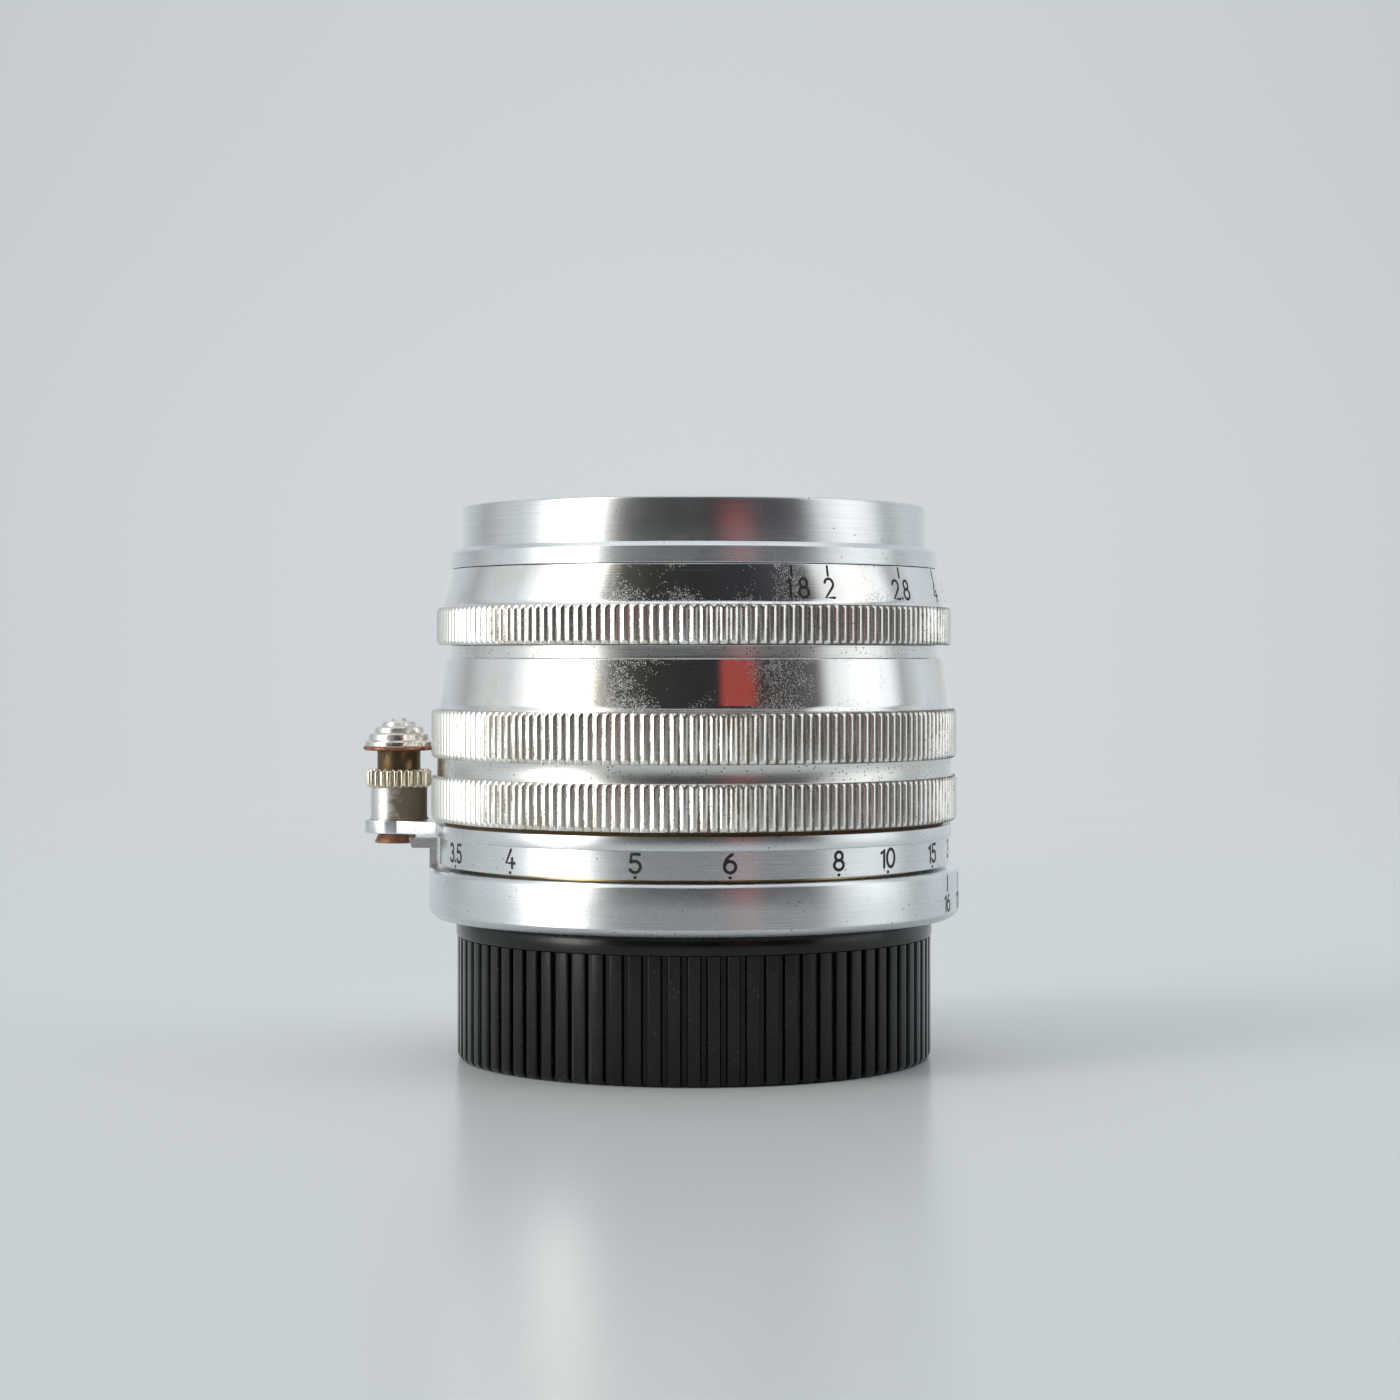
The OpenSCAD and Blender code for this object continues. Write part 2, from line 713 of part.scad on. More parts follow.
// One blade, number 1 to 9, drawn at the rest mark; each lies one level above the last
module iris_blade(number) color([0.2, 0.2, 0.22])
    rotate([0, 0, (number - 1) * TURN / blade_count])
        translate([pivot_r, 0, blade_z + (number - 1) * blade_step])
            rotate([0, 0, -blade_rest]) {
                linear_extrude(blade_t) blade_outline();
                pivot_bottom = plate_z + 0.1 - blade_z - (number - 1) * blade_step;
                translate([0, 0, pivot_bottom]) cylinder(r = pivot_pin_r, h = blade_t - pivot_bottom);
                drive_top = cam_plate_z + cam_groove - 0.1 - blade_z - (number - 1) * blade_step;
                translate([0, tail_len, 0]) cylinder(r = drive_pin_r, h = drive_top);
            }

// Outline of a blade at full aperture, with its pivot pin at the origin
module blade_outline() {
    tail_half_w = 0.45;
    steps = 12;
    translate([-pivot_r, 0]) intersection() {
        difference() {
            circle(r = blade_out);
            circle(r = blade_in);
        }
        polygon(concat([[0, 0]], [for (i = [0:steps]) polar(20, -blade_span * i / steps)]));
    }
    // root that joins the arc to the eye around the pivot pin
    translate([-2.4, -1.8]) square([2.6, 2.2]);
    circle(r = 0.7);
    translate([-tail_half_w, 0]) square([2 * tail_half_w, tail_len]);
    translate([0, tail_len]) circle(r = tail_half_w);
}

// ---------------------------------------------------------------- lock button

module lock_button() color([0.72, 0.7, 0.68]) at_post() lathe([
    [0, cap_seat], [3.1, cap_seat], [3.25, 14.9], [3.13, 15.1], [3.05, 15.6], [2.82, 15.7], [2.72, 16.3],
    [2.3, 16.4], [2.12, 16.9], [1.6, 17], [1.38, 17.4], [0.7, 17.45], [0.5, 17.68], [0, 17.7]
]);

module lock_stem() color([0.36, 0.26, 0.15]) at_post() lathe([
    [0, foot_top], [stem_r, foot_top], [stem_r, neck_bottom], [button_neck_r, neck_bottom],
    [button_neck_r, cap_seat], [0, cap_seat]
]);

module lock_foot() color([0.45, 0.25, 0.18]) difference() {
    foot_r = 2.24;
    foot_top_r = 1.8;
    at_post() lathe([[0, foot_bottom], [foot_r, foot_bottom], [foot_top_r, foot_top], [0, foot_top]]);
    // flat on the inner side, beside which the infinity catch's tab passes
    at_azimuth(post_azimuth) translate([foot_flat - 4, -4, foot_bottom - 1]) cube([4, 8, 3]);
}

// A coil spring around the stem, between the post's floor and the button's neck
module button_spring() color("silver") at_post() {
    wire_r = 0.18;
    coil_r = 1.5;
    coils = 3.5;
    per_coil = 16;
    sides = 8;
    z0 = bore_floor + wire_r + EPS;
    rise = neck_bottom - bore_floor - 2 * (wire_r + EPS);
    rings = coils * per_coil;
    points = [for (i = [0:rings], k = [0:sides - 1])
        let (a = TURN * i / per_coil, b = TURN * k / sides, r = coil_r + wire_r * cos(b))
        [r * cos(a), r * sin(a), z0 + rise * i / rings + wire_r * sin(b)]];
    walls = [for (i = [0:rings - 1], k = [0:sides - 1])
        let (a = i * sides + k, b = i * sides + (k + 1) % sides) [a, b, b + sides, a + sides]];
    ends = [[for (k = [0:sides - 1]) sides - 1 - k], [for (k = [0:sides - 1]) rings * sides + k]];
    polyhedron(points, concat(walls, ends));
}

rear_cap();
mount_ring();
depth_scale_ring();
outer_helicoid();
mount_screws();
guide_key();
key_screw();
infinity_catch();
catch_screws();
rangefinder_cam();
inner_helicoid();
cam_retaining_ring();
helicoid_screws();
focusing_ring();
distance_scale_ring();
lever_plate();
lever_post();
lever_collar();
lens_barrel();
barrel_cone();
index_ring();
filter_ring();
name_ring();
front_cell();
front_spacer();
iris_housing();
rear_cell();
rear_spacer();
rear_retainer();
glass_1();
glass_2();
glass_3();
glass_4();
glass_5();
glass_6();
aperture_ring();
drive_screws();
iris_cam_ring();
for (number = [1:blade_count])
    iris_blade(number);
lock_button();
lock_stem();
lock_foot();
button_spring();
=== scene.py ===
"""Looks, stage, light and camera for a chromed prime camera lens standing on its rear cap.

Mesh dimensions in this script are millimetres; they become metres when a mesh is made.
Azimuths are degrees from -Y, positive towards +X, so azimuth 0 faces the camera.
"""

import json
import math
import random

import bpy
import numpy as np
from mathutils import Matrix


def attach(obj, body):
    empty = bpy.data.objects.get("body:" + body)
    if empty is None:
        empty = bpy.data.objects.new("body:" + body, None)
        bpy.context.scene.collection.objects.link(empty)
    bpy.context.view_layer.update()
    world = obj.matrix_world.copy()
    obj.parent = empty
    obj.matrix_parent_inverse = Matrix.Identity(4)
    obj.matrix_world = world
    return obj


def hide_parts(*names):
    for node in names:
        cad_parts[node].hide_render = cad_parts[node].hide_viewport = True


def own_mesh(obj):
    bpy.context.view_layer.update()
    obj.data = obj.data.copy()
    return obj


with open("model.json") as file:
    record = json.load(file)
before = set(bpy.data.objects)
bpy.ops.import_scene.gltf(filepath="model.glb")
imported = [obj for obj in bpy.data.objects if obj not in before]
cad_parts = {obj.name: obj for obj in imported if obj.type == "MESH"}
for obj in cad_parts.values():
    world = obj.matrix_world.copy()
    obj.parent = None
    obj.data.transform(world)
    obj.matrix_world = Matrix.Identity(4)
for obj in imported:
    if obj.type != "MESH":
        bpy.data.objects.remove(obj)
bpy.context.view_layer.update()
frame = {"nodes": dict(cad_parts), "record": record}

MM = 0.001
BODY_OF = {n: b for b, ns in frame["record"]["behaviour"]["bodies"].items() for n in ns}
SLOT_OF = {s["node"]: s["material_slot"] for s in frame["record"]["subparts"]}
rng = random.Random(7)

LONGEST_CUT = 0.45  # the share of an edge that a fillet may take
DEGREES_A_STEP = 14  # how finely a fillet is divided

# ------------------------------------------------------------------ mesh builders


def circle_points(radius, angle):
    """x and y of a point at an azimuth around the lens axis."""
    return radius * np.sin(np.radians(angle)), -radius * np.cos(np.radians(angle))


def revolved(radius, height, angles):
    """Points of a section turned around the lens axis; radius may be different at each angle."""
    x, y = circle_points(radius, np.asarray(angles)[:, None])
    return np.stack([x, y, np.broadcast_to(height, x.shape)], -1).reshape(-1, 3)


def even_angles(count):
    return np.arange(count) * 360 / count


def grid_faces(columns, rows, closed):
    """Quads of a grid that closes around its columns, and around its rows if closed."""
    i = np.arange(columns)[:, None]
    j = np.arange(rows if closed else rows - 1)[None, :]
    i2, j2 = (i + 1) % columns, (j + 1) % rows
    quads = np.stack([i * rows + j, i2 * rows + j, i2 * rows + j2, i * rows + j2], axis=-1)
    return quads.reshape(-1, 4)


def make_object(name, points, faces):
    """An object from points in millimetres. Faces with fewer than three different corners are left out."""
    distinct = [list(dict.fromkeys(face)) for face in faces]
    mesh = bpy.data.meshes.new(name)
    mesh.from_pydata((np.asarray(points) * MM).tolist(), [], [face for face in distinct if len(face) > 2])
    mesh.update()
    obj = bpy.data.objects.new(name, mesh)
    bpy.context.scene.collection.objects.link(obj)
    return obj


def rounded(corners, fillet):
    """Points and outward normals along a closed section; a corner is (r, z) or (r, z, its own fillet)."""
    points, normals = [], []
    count = len(corners)
    for k in range(count):
        before, here, after = (np.array(corners[(k + d) % count][:2], float) for d in (-1, 0, 1))
        radius = corners[k][2] if len(corners[k]) > 2 else fillet
        d_in, d_out = here - before, after - here
        len_in, len_out = np.linalg.norm(d_in), np.linalg.norm(d_out)
        a_in, a_out = math.atan2(d_in[1], d_in[0]), math.atan2(d_out[1], d_out[0])
        turn = (a_out - a_in + math.pi) % (2 * math.pi) - math.pi
        if here[0] == 0:
            # a point on the axis stays sharp
            a = a_out if before[0] == 0 else a_in
            points.append(here)
            normals.append((math.sin(a), -math.cos(a)))
            continue
        reach = abs(math.tan(turn / 2)) * radius
        cut = min(reach, LONGEST_CUT * len_in, LONGEST_CUT * len_out)
        start, end = here - d_in / len_in * cut, here + d_out / len_out * cut
        steps = max(2, int(abs(turn) / math.radians(DEGREES_A_STEP)) + 1)
        for s in range(steps + 1):
            t = s / steps
            a = a_in + turn * t
            points.append((1 - t) ** 2 * start + 2 * t * (1 - t) * here + t ** 2 * end)
            normals.append((math.sin(a), -math.cos(a)))
    return np.array(points), np.array(normals)


def shade(obj, crease):
    """Smooth shading, with edges sharper than crease, in degrees, kept sharp."""
    obj.data.shade_smooth()
    obj.data.set_sharp_from_angle(angle=math.radians(crease))


def place(points, centre):
    """Moves points made around the lens axis to an axis at (x, y)."""
    return points + np.array([centre[0], centre[1], 0.0])


def turned(name, corners, fillet=0.06, segments=256, centre=(0, 0)):
    """A turned part, its corners rounded and its flats shaded flat.

    The section runs anticlockwise in (r, z).
    """
    section, flat_normals = rounded(corners, fillet)
    angles = even_angles(segments)
    rows = len(section)
    faces = grid_faces(segments, rows, True)
    for j in np.where(section[:, 0] == 0)[0]:
        faces[faces % rows == j] = j
    obj = make_object(name, place(revolved(section[:, 0], section[:, 1], angles), centre), faces)
    normals = revolved(flat_normals[:, 0], flat_normals[:, 1], angles)
    normals /= np.linalg.norm(normals, axis=1)[:, None]
    obj.data.shade_smooth()
    obj.data.normals_split_custom_set_from_vertices(normals.tolist())
    return obj


def toothed(name, section, tip, depth, columns, centre=(0, 0), crease=38):
    """A ring whose outside is cut into teeth.

    section holds (r, z, cut): where cut is 1, the radius is held under the tooth's own radius.
    columns holds (azimuth, share): share 0 is a tooth's tip, 1 is the floor of a valley.
    """
    section = np.array(section, float)
    columns = np.array(columns, float)
    limit = tip - depth * columns[:, 1]
    radius = np.broadcast_to(section[None, :, 0], (len(columns), len(section))).copy()
    cut = section[:, 2] > 0
    radius[:, cut] = np.minimum(radius[:, cut], limit[:, None])
    points = place(revolved(radius, section[:, 1], columns[:, 0]), centre)
    obj = make_object(name, points, grid_faces(len(columns), len(section), True))
    cavity = np.zeros_like(radius)
    cavity[:, cut] = np.clip((tip - radius[:, cut]) / depth, 0, 1)
    layer = obj.data.attributes.new("cavity", "FLOAT", "POINT")
    layer.data.foreach_set("value", cavity.reshape(-1).astype(np.float32))
    shade(obj, crease)
    return obj


def tooth_columns(count, shape, wear):
    """Columns for toothed(), each tooth a little different.

    shape is half a tooth, from the middle of its tip: (share of the pitch, share of the depth).
    """
    out = []
    for i in range(count):
        width = 1 + rng.uniform(-wear, wear)
        worn = rng.uniform(0, wear) * 0.35
        drift = rng.uniform(-wear, wear) * 0.06
        half = [(min(p * width, 0.47) if d < 0.9 else p, max(d, worn)) for p, d in shape]
        whole = [(-p, d) for p, d in reversed(half) if 0 < p < 0.5] + half
        out += [((i + p + drift * (1 - d)) * 360 / count, d) for p, d in whole]
    return out


def band(root, tip, z0, z1, chamfer):
    """Section rows of one toothed band, from its lower end to its upper one."""
    mid = (root + tip) / 2
    return [
        (root, z0, 1), (mid, z0 + chamfer * 0.42, 1), (tip - 0.02, z0 + chamfer * 0.88, 1),
        (tip, z0 + chamfer * 1.15, 1), (tip, z1 - chamfer * 1.15, 1), (tip - 0.02, z1 - chamfer * 0.88, 1),
        (mid, z1 - chamfer * 0.42, 1), (root, z1, 1),
    ]


def plain(*rows):
    """Section rows with no teeth."""
    return [(r, z, 0) for r, z in rows]


def show(obj, node, finish):
    """Puts a piece in place of a CAD node, with that node's body and the given finish."""
    obj.data.materials.append(materials[finish])
    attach(obj, BODY_OF[node])
    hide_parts(node)
    return obj


def finish_by_height(obj, finishes, pick):
    """Adds finishes after the first one, and gives each face the one that pick says for its height."""
    for finish in finishes:
        obj.data.materials.append(materials[finish])
    for polygon in obj.data.polygons:
        polygon.material_index = pick(polygon.center.z / MM)


# ------------------------------------------------------------------ materials


class Nodes:
    """A node tree under construction, with short ways to add the nodes used here."""

    interpolation = "LINEAR"

    def __init__(self, tree):
        self.tree = tree
        tree.nodes.clear()

    def add(self, kind, **settings):
        node = self.tree.nodes.new(kind)
        for key, value in settings.items():
            setattr(node, key, value)
        return node

    def join(self, a, b):
        self.tree.links.new(a, b)

    def feed(self, socket, value):
        """Links a node output, or sets a constant, on a socket."""
        if isinstance(value, bpy.types.NodeSocket):
            self.join(value, socket)
        else:
            socket.default_value = value

    def math(self, operation, a, b=0.0):
        node = self.add("ShaderNodeMath", operation=operation)
        self.feed(node.inputs[0], a)
        self.feed(node.inputs[1], b)
        return node.outputs[0]

    def span(self, value, low, high, to_low=0.0, to_high=1.0):
        """Maps a value from low..high to to_low..to_high, held at the ends."""
        node = self.add("ShaderNodeMapRange", interpolation_type=self.interpolation)
        limits = {"Value": value, "From Min": low, "From Max": high, "To Min": to_low, "To Max": to_high}
        for key, number in limits.items():
            self.feed(node.inputs[key], number)
        return node.outputs[0]

    def mix(self, share, a, b):
        node = self.add("ShaderNodeMix", data_type="RGBA")
        self.feed(node.inputs[0], share)
        for socket, colour in ((node.inputs[6], a), (node.inputs[7], b)):
            self.feed(socket, colour if isinstance(colour, bpy.types.NodeSocket) else (*colour, 1))
        return node.outputs[2]

    def scaled(self, colour, factor):
        node = self.add("ShaderNodeVectorMath", operation="SCALE")
        self.join(colour, node.inputs[0])
        self.feed(node.inputs["Scale"], factor)
        return node.outputs[0]


class Shader(Nodes):
    """A material, with its texture coordinates in millimetres."""

    def __init__(self, name):
        self.material = bpy.data.materials.new(name)
        self.material.use_nodes = True
        super().__init__(self.material.node_tree)
        self.bsdf = self.add("ShaderNodeBsdfPrincipled")
        out = self.add("ShaderNodeOutputMaterial")
        self.join(self.bsdf.outputs[0], out.inputs[0])
        coords = self.add("ShaderNodeTexCoord")
        to_mm = self.add("ShaderNodeMapping")
        to_mm.inputs["Scale"].default_value = (1 / MM, 1 / MM, 1 / MM)
        self.join(coords.outputs["Object"], to_mm.inputs["Vector"])
        self.mm = to_mm.outputs[0]
        self.last_bump = None

    def set(self, **values):
        for key, value in values.items():
            self.feed(self.bsdf.inputs[key.replace("_", " ")], value)

    def noise(self, scale, detail=3, stretch=(1, 1, 1), rough=0.55):
        mapping = self.add("ShaderNodeMapping")
        mapping.inputs["Scale"].default_value = stretch
        self.join(self.mm, mapping.inputs["Vector"])
        node = self.add("ShaderNodeTexNoise")
        self.join(mapping.outputs[0], node.inputs["Vector"])
        node.inputs["Scale"].default_value = scale
        node.inputs["Detail"].default_value = detail
        node.inputs["Roughness"].default_value = rough
        return node.outputs["Fac"]

    def dots(self, scale, size, density):
        """Scattered round dots: size is a share of their spacing, density the share of places with one."""
        node = self.add("ShaderNodeTexVoronoi")
        self.join(self.mm, node.inputs["Vector"])
        node.inputs["Scale"].default_value = scale
        near = self.span(node.outputs["Distance"], size, size * 0.6)
        chance = self.add("ShaderNodeSeparateColor")
        self.join(node.outputs["Color"], chance.inputs[0])
        there = self.math("LESS_THAN", chance.outputs[0], density)
        return self.math("MULTIPLY", near, there)

    def bump(self, height, distance, strength=1.0):
        """Adds a bump, distance in millimetres, on top of the earlier ones."""
        node = self.add("ShaderNodeBump")
        self.join(height, node.inputs["Height"])
        node.inputs["Distance"].default_value = distance * MM
        node.inputs["Strength"].default_value = strength
        if self.last_bump:
            self.join(self.last_bump, node.inputs["Normal"])
        self.last_bump = node.outputs[0]
        self.join(self.last_bump, self.bsdf.inputs["Normal"])

    def attribute(self, name):
        node = self.add("ShaderNodeAttribute")
        node.attribute_name = name
        return node.outputs["Fac"]

    def along(self, axis):
        """The place along the "X", "Y" or "Z" axis, in millimetres."""
        node = self.add("ShaderNodeSeparateXYZ")
        self.join(self.mm, node.inputs[0])
        return node.outputs[axis]

    def from_axis(self):
        """The distance from the lens axis, in millimetres."""
        flat = self.add("ShaderNodeVectorMath", operation="MULTIPLY")
        self.join(self.mm, flat.inputs[0])
        flat.inputs[1].default_value = (1, 1, 0)
        length = self.add("ShaderNodeVectorMath", operation="LENGTH")
        self.join(flat.outputs[0], length.inputs[0])
        return length.outputs["Value"]

    def turned_around_z(self, amount):
        """Stretches reflections up and down, as fine turned lines do."""
        tangent = self.add("ShaderNodeTangent", direction_type="RADIAL", axis="Z")
        self.join(tangent.outputs[0], self.bsdf.inputs["Tangent"])
        self.bsdf.inputs["Anisotropic"].default_value = amount
        self.bsdf.inputs["Anisotropic Rotation"].default_value = 0.25


def satin_metal(name, tint, rough, lines=0.5, stretch=0.75, specks=0.5):
    """Turned metal: fine lines around the axis, reflections drawn out along it."""
    s = Shader(name)
    streaks = s.noise(1, 3, (0.12, 0.12, 14))
    clouds = s.noise(0.3, 4)
    spread = s.math("ADD", s.noise(0.22, 3), s.span(s.along("X"), -6, 14, 0.0, 0.025 * specks))
    density = s.span(spread, 0.42, 0.7, 0.0, min(0.16 * specks, 0.6))
    pits = s.dots(3.2, 0.3, density)
    shade = s.span(streaks, 0.3, 0.75, 0.9, 1.04)
    colour = s.mix(s.span(clouds, 0.35, 0.7), tint, [v * 0.97 for v in tint])
    colour = s.mix(s.math("MULTIPLY", pits, 0.8), colour, (0.13, 0.11, 0.09))
    s.set(Base_Color=s.scaled(colour, shade), Metallic=1.0)
    s.set(Roughness=s.span(s.math("ADD", clouds, pits), 0.3, 1.3, rough - 0.02, rough + 0.12))
    s.turned_around_z(stretch)
    s.bump(streaks, 0.014 * lines)
    return s.material


def polished_metal(name, tint, rough, low, high):
    """Mirror chrome with clusters of pits, thickest towards the heights low and high."""
    s = Shader(name)
    z = s.along("Z")
    edge = s.math("MAXIMUM", s.span(z, low + 1.6, low, 0, 0.16), s.span(z, high - 1.0, high, 0, 0.08))
    sideways = s.math("ABSOLUTE", s.math("SUBTRACT", s.math("ABSOLUTE", s.along("X")), 6.6))
    edge = s.math("ADD", edge, s.span(sideways, 3.6, 0, -0.1, 0.09))
    patches = s.math("ADD", s.noise(0.3, 5), edge)
    density = s.span(patches, 0.48, 0.78, 0.004, 0.8)
    fine = s.dots(13, 0.5, density)
    coarse = s.dots(2.8, 0.2, s.math("MULTIPLY", density, 0.25))
    spots = s.math("MAXIMUM", fine, coarse)
    streaks = s.noise(1, 2, (0.1, 0.1, 7))
    stain = s.span(s.noise(0.16, 3), 0.5, 0.72)
    tinted = s.mix(stain, tint, [tint[0] * 0.96, tint[1] * 0.92, tint[2] * 0.82])
    colour = s.mix(spots, tinted, (0.3, 0.28, 0.25))
    s.set(Base_Color=colour, Metallic=s.span(spots, 0, 1, 1.0, 0.7))
    haze = s.span(patches, 0.5, 0.85, rough, rough + 0.1)
    s.set(Roughness=s.math("ADD", haze, s.math("MULTIPLY", spots, 0.24)))
    s.turned_around_z(0.25)
    s.bump(streaks, 0.006)
    s.bump(spots, -0.007)
    return s.material


def knurled_metal(name, tint, grime, rough=0.18, dirt=0.8):
    """Bright teeth with dirt along the valleys. Reads the mesh's cavity attribute."""
    s = Shader(name)
    cavity = s.attribute("cavity")
    clouds = s.noise(0.5, 4)
    grain = s.noise(7, 3)
    uneven = s.math("ADD", cavity, s.span(clouds, 0.3, 0.7, -0.2, 0.16))
    uneven = s.math("ADD", uneven, s.span(grain, 0.3, 0.7, -0.16, 0.16))
    uneven = s.math("ADD", uneven, s.span(s.along("X"), -8, 12, -0.1, 0.24))
    dirty = s.math("MULTIPLY", s.span(uneven, 0.72, 1.05), dirt)
    metal = s.mix(s.span(clouds, 0.4, 0.7), tint, [tint[0] * 0.97, tint[1] * 0.94, tint[2] * 0.87])
    specks = s.math("MULTIPLY", s.dots(3.5, 0.3, s.span(s.noise(0.3, 2), 0.45, 0.7, 0.0, 0.3)), 0.8)
    dirty = s.math("MAXIMUM", dirty, specks)
    s.set(Base_Color=s.mix(dirty, metal, grime), Metallic=s.span(dirty, 0, 1, 1.0, 0.25))
    s.set(Roughness=s.span(dirty, 0, 1, rough, 0.7))
    s.bump(grain, 0.006)
    return s.material


def plain_metal(name, tint, rough, stain=(0.2, 0.13, 0.08), stained=0.3, inner=0.0):
    """Small metal parts, machined, handled and a little stained. inner stains the side that faces the lens."""
    s = Shader(name)
    clouds = s.noise(0.9, 4)
    grain = s.noise(8, 3)
    share = s.math("MULTIPLY", s.span(clouds, 0.48, 0.68), stained)
    if inner:
        edge = s.math("ADD", s.from_axis(), s.span(clouds, 0.3, 0.7, -0.9, 0.9))
        side = s.span(edge, 28.5, 27.0, 0.0, inner)
        share = s.math("MAXIMUM", share, side)
    share = s.math("MAXIMUM", share, s.math("MULTIPLY", s.span(grain, 0.68, 0.74), stained))
    s.set(Base_Color=s.mix(share, tint, stain), Metallic=s.span(share, 0, 1, 1.0, 0.2))
    handled = s.span(clouds, 0.3, 0.7, rough, rough + 0.12)
    s.set(Roughness=s.math("ADD", handled, s.math("MULTIPLY", share, 0.3)))
    s.bump(grain, 0.006)
    return s.material


def cap_plastic(name):
    """Moulded black plastic, glossy on the ribs, with dust, and painted shade that darkens the grooves."""
    s = Shader(name)
    cavity = s.attribute("cavity")
    dust = s.math("MULTIPLY", s.dots(3.0, 0.24, s.span(s.noise(0.3, 3), 0.4, 0.7, 0.02, 0.35)), 0.5)
    film = s.span(s.noise(0.25, 4), 0.4, 0.7, 0.0, 0.07)
    light = s.math("ADD", dust, film)
    colour = s.mix(light, (0.004, 0.0045, 0.005), (0.12, 0.12, 0.1))
    # painted shade: where the cavity attribute is high, mostly in the grooves between the ribs, the colour
    # goes to near black
    s.set(Base_Color=s.mix(s.span(cavity, 0.5, 0.95), colour, (0.003, 0.003, 0.0035)))
    s.set(Roughness=s.span(s.noise(0.8, 3), 0.3, 0.7, 0.12, 0.2), Specular_IOR_Level=0.36)
    s.bump(s.noise(5, 4), 0.008, 0.6)
    return s.material


def matt_paint(name, tint, rough):
    s = Shader(name)
    s.set(Base_Color=s.mix(s.noise(1.2, 4), tint, [v * 1.6 for v in tint]), Roughness=rough)
    s.bump(s.noise(12, 2), 0.008)
    return s.material


def coated_glass(name):
    s = Shader(name)
    s.set(Base_Color=(0.96, 0.975, 0.99, 1), Transmission_Weight=1.0, IOR=1.6)
    s.set(Roughness=s.span(s.noise(0.4, 3), 0.5, 0.8, 0.0, 0.035))
    s.set(Thin_Film_Thickness=s.span(s.noise(0.05, 1), 0.3, 0.7, 112, 126), Thin_Film_IOR=1.38)
    return s.material


FINISHES = {
    "cap_plastic": (cap_plastic,),
    "satin_chrome": (satin_metal, (0.80, 0.82, 0.84), 0.27),
    "rim_chrome": (satin_metal, (0.80, 0.81, 0.82), 0.23, 0.6, 0.7, 0.8),
    "pitted_chrome": (satin_metal, (0.84, 0.84, 0.82), 0.24, 0.3, 0.5, 7.0),
    "aperture_chrome": (polished_metal, (0.86, 0.86, 0.87), 0.07, 27.7, 31.2),
    "cone_chrome": (polished_metal, (0.86, 0.86, 0.87), 0.07, 18.6, 23.2),
    "knurled_nickel": (knurled_metal, (0.87, 0.86, 0.83), (0.12, 0.095, 0.07), 0.23, 0.85),
    "knurled_chrome": (knurled_metal, (0.87, 0.86, 0.84), (0.11, 0.095, 0.075), 0.21, 0.85),
    "groove_nickel": (satin_metal, (0.79, 0.79, 0.77), 0.26, 0.7, 0.7, 6.0),
    "worn_nickel": (plain_metal, (0.8, 0.78, 0.75), 0.18, (0.24, 0.13, 0.08), 0.4),
    "post_nickel": (plain_metal, (0.78, 0.78, 0.77), 0.2, (0.13, 0.085, 0.035), 0.3, 0.9),
    "brown_brass": (plain_metal, (0.14, 0.09, 0.05), 0.36, (0.05, 0.03, 0.02), 0.8),
    "collar_brass": (knurled_metal, (0.74, 0.68, 0.58), (0.1, 0.065, 0.035), 0.22),
    "bare_copper": (plain_metal, (0.42, 0.2, 0.13), 0.34, (0.09, 0.04, 0.03), 0.8),
    "yellow_brass": (satin_metal, (0.78, 0.6, 0.32), 0.3, 0.6, 0.5, 0.3),
    "black_paint": (matt_paint, (0.012, 0.012, 0.013), 0.5),
    "barrel_aluminium": (satin_metal, (0.62, 0.63, 0.65), 0.36, 0.6, 0.5, 0.2),
    "screw_steel": (plain_metal, (0.5, 0.5, 0.5), 0.3),
    "spring_steel": (plain_metal, (0.6, 0.6, 0.6), 0.25),
    "blade_steel": (plain_metal, (0.13, 0.13, 0.15), 0.38, (0.05, 0.04, 0.03), 0.3),
    "coated_glass": (coated_glass,),
    "scale_paint": (matt_paint, (0.016, 0.012, 0.01), 0.55),
    # rust, and painted shade of the narrow gap above the lever plate
    "rust_and_shade_line": (matt_paint, (0.10, 0.055, 0.02), 0.8),
}
materials = {name: make(name, *settings) for name, (make, *settings) in FINISHES.items()}

SLOT_FINISH = {"polished_chrome": "cone_chrome"}
NODE_FINISH = {"infinity_catch": "worn_nickel"}
for node_name, node in frame["nodes"].items():
    slot_name = SLOT_OF[node_name]
    finish = NODE_FINISH.get(node_name) or SLOT_FINISH.get(slot_name, slot_name)
    node.data.materials.clear()
    node.data.materials.append(materials[finish])

# ------------------------------------------------------------------ rear cap

RIB = [(0, 0), (0.24, 0), (0.28, 0.03), (0.305, 0.1), (0.325, 0.25), (0.345, 0.55), (0.365, 0.88), (0.385, 1),
       (0.5, 1)]
cap_rows = (
    plain((0.3, -11.3), (0.3, -12.8))
    + [(20.5, -12.8, 1), (20.95, -12.8, 1), (21.28, -12.6, 1), (21.45, -12.3, 1), (21.45, -2.2, 1),
       (21.45, -1.8, 1)]
    + plain((21.35, -1.8), (21.5, -1.72), (21.55, -1.6), (21.55, -0.35), (21.48, -0.22), (21.25, -0.05),
            (19.6, -0.05), (19.6, -6.2), (18.6, -6.2), (18.6, -11.3))
)
cap = toothed("rear_cap_body", cap_rows, 21.45, 0.45, tooth_columns(80, RIB, 0.05))
show(cap, "rear_cap", "cap_plastic")

# ------------------------------------------------------------------ fixed mount


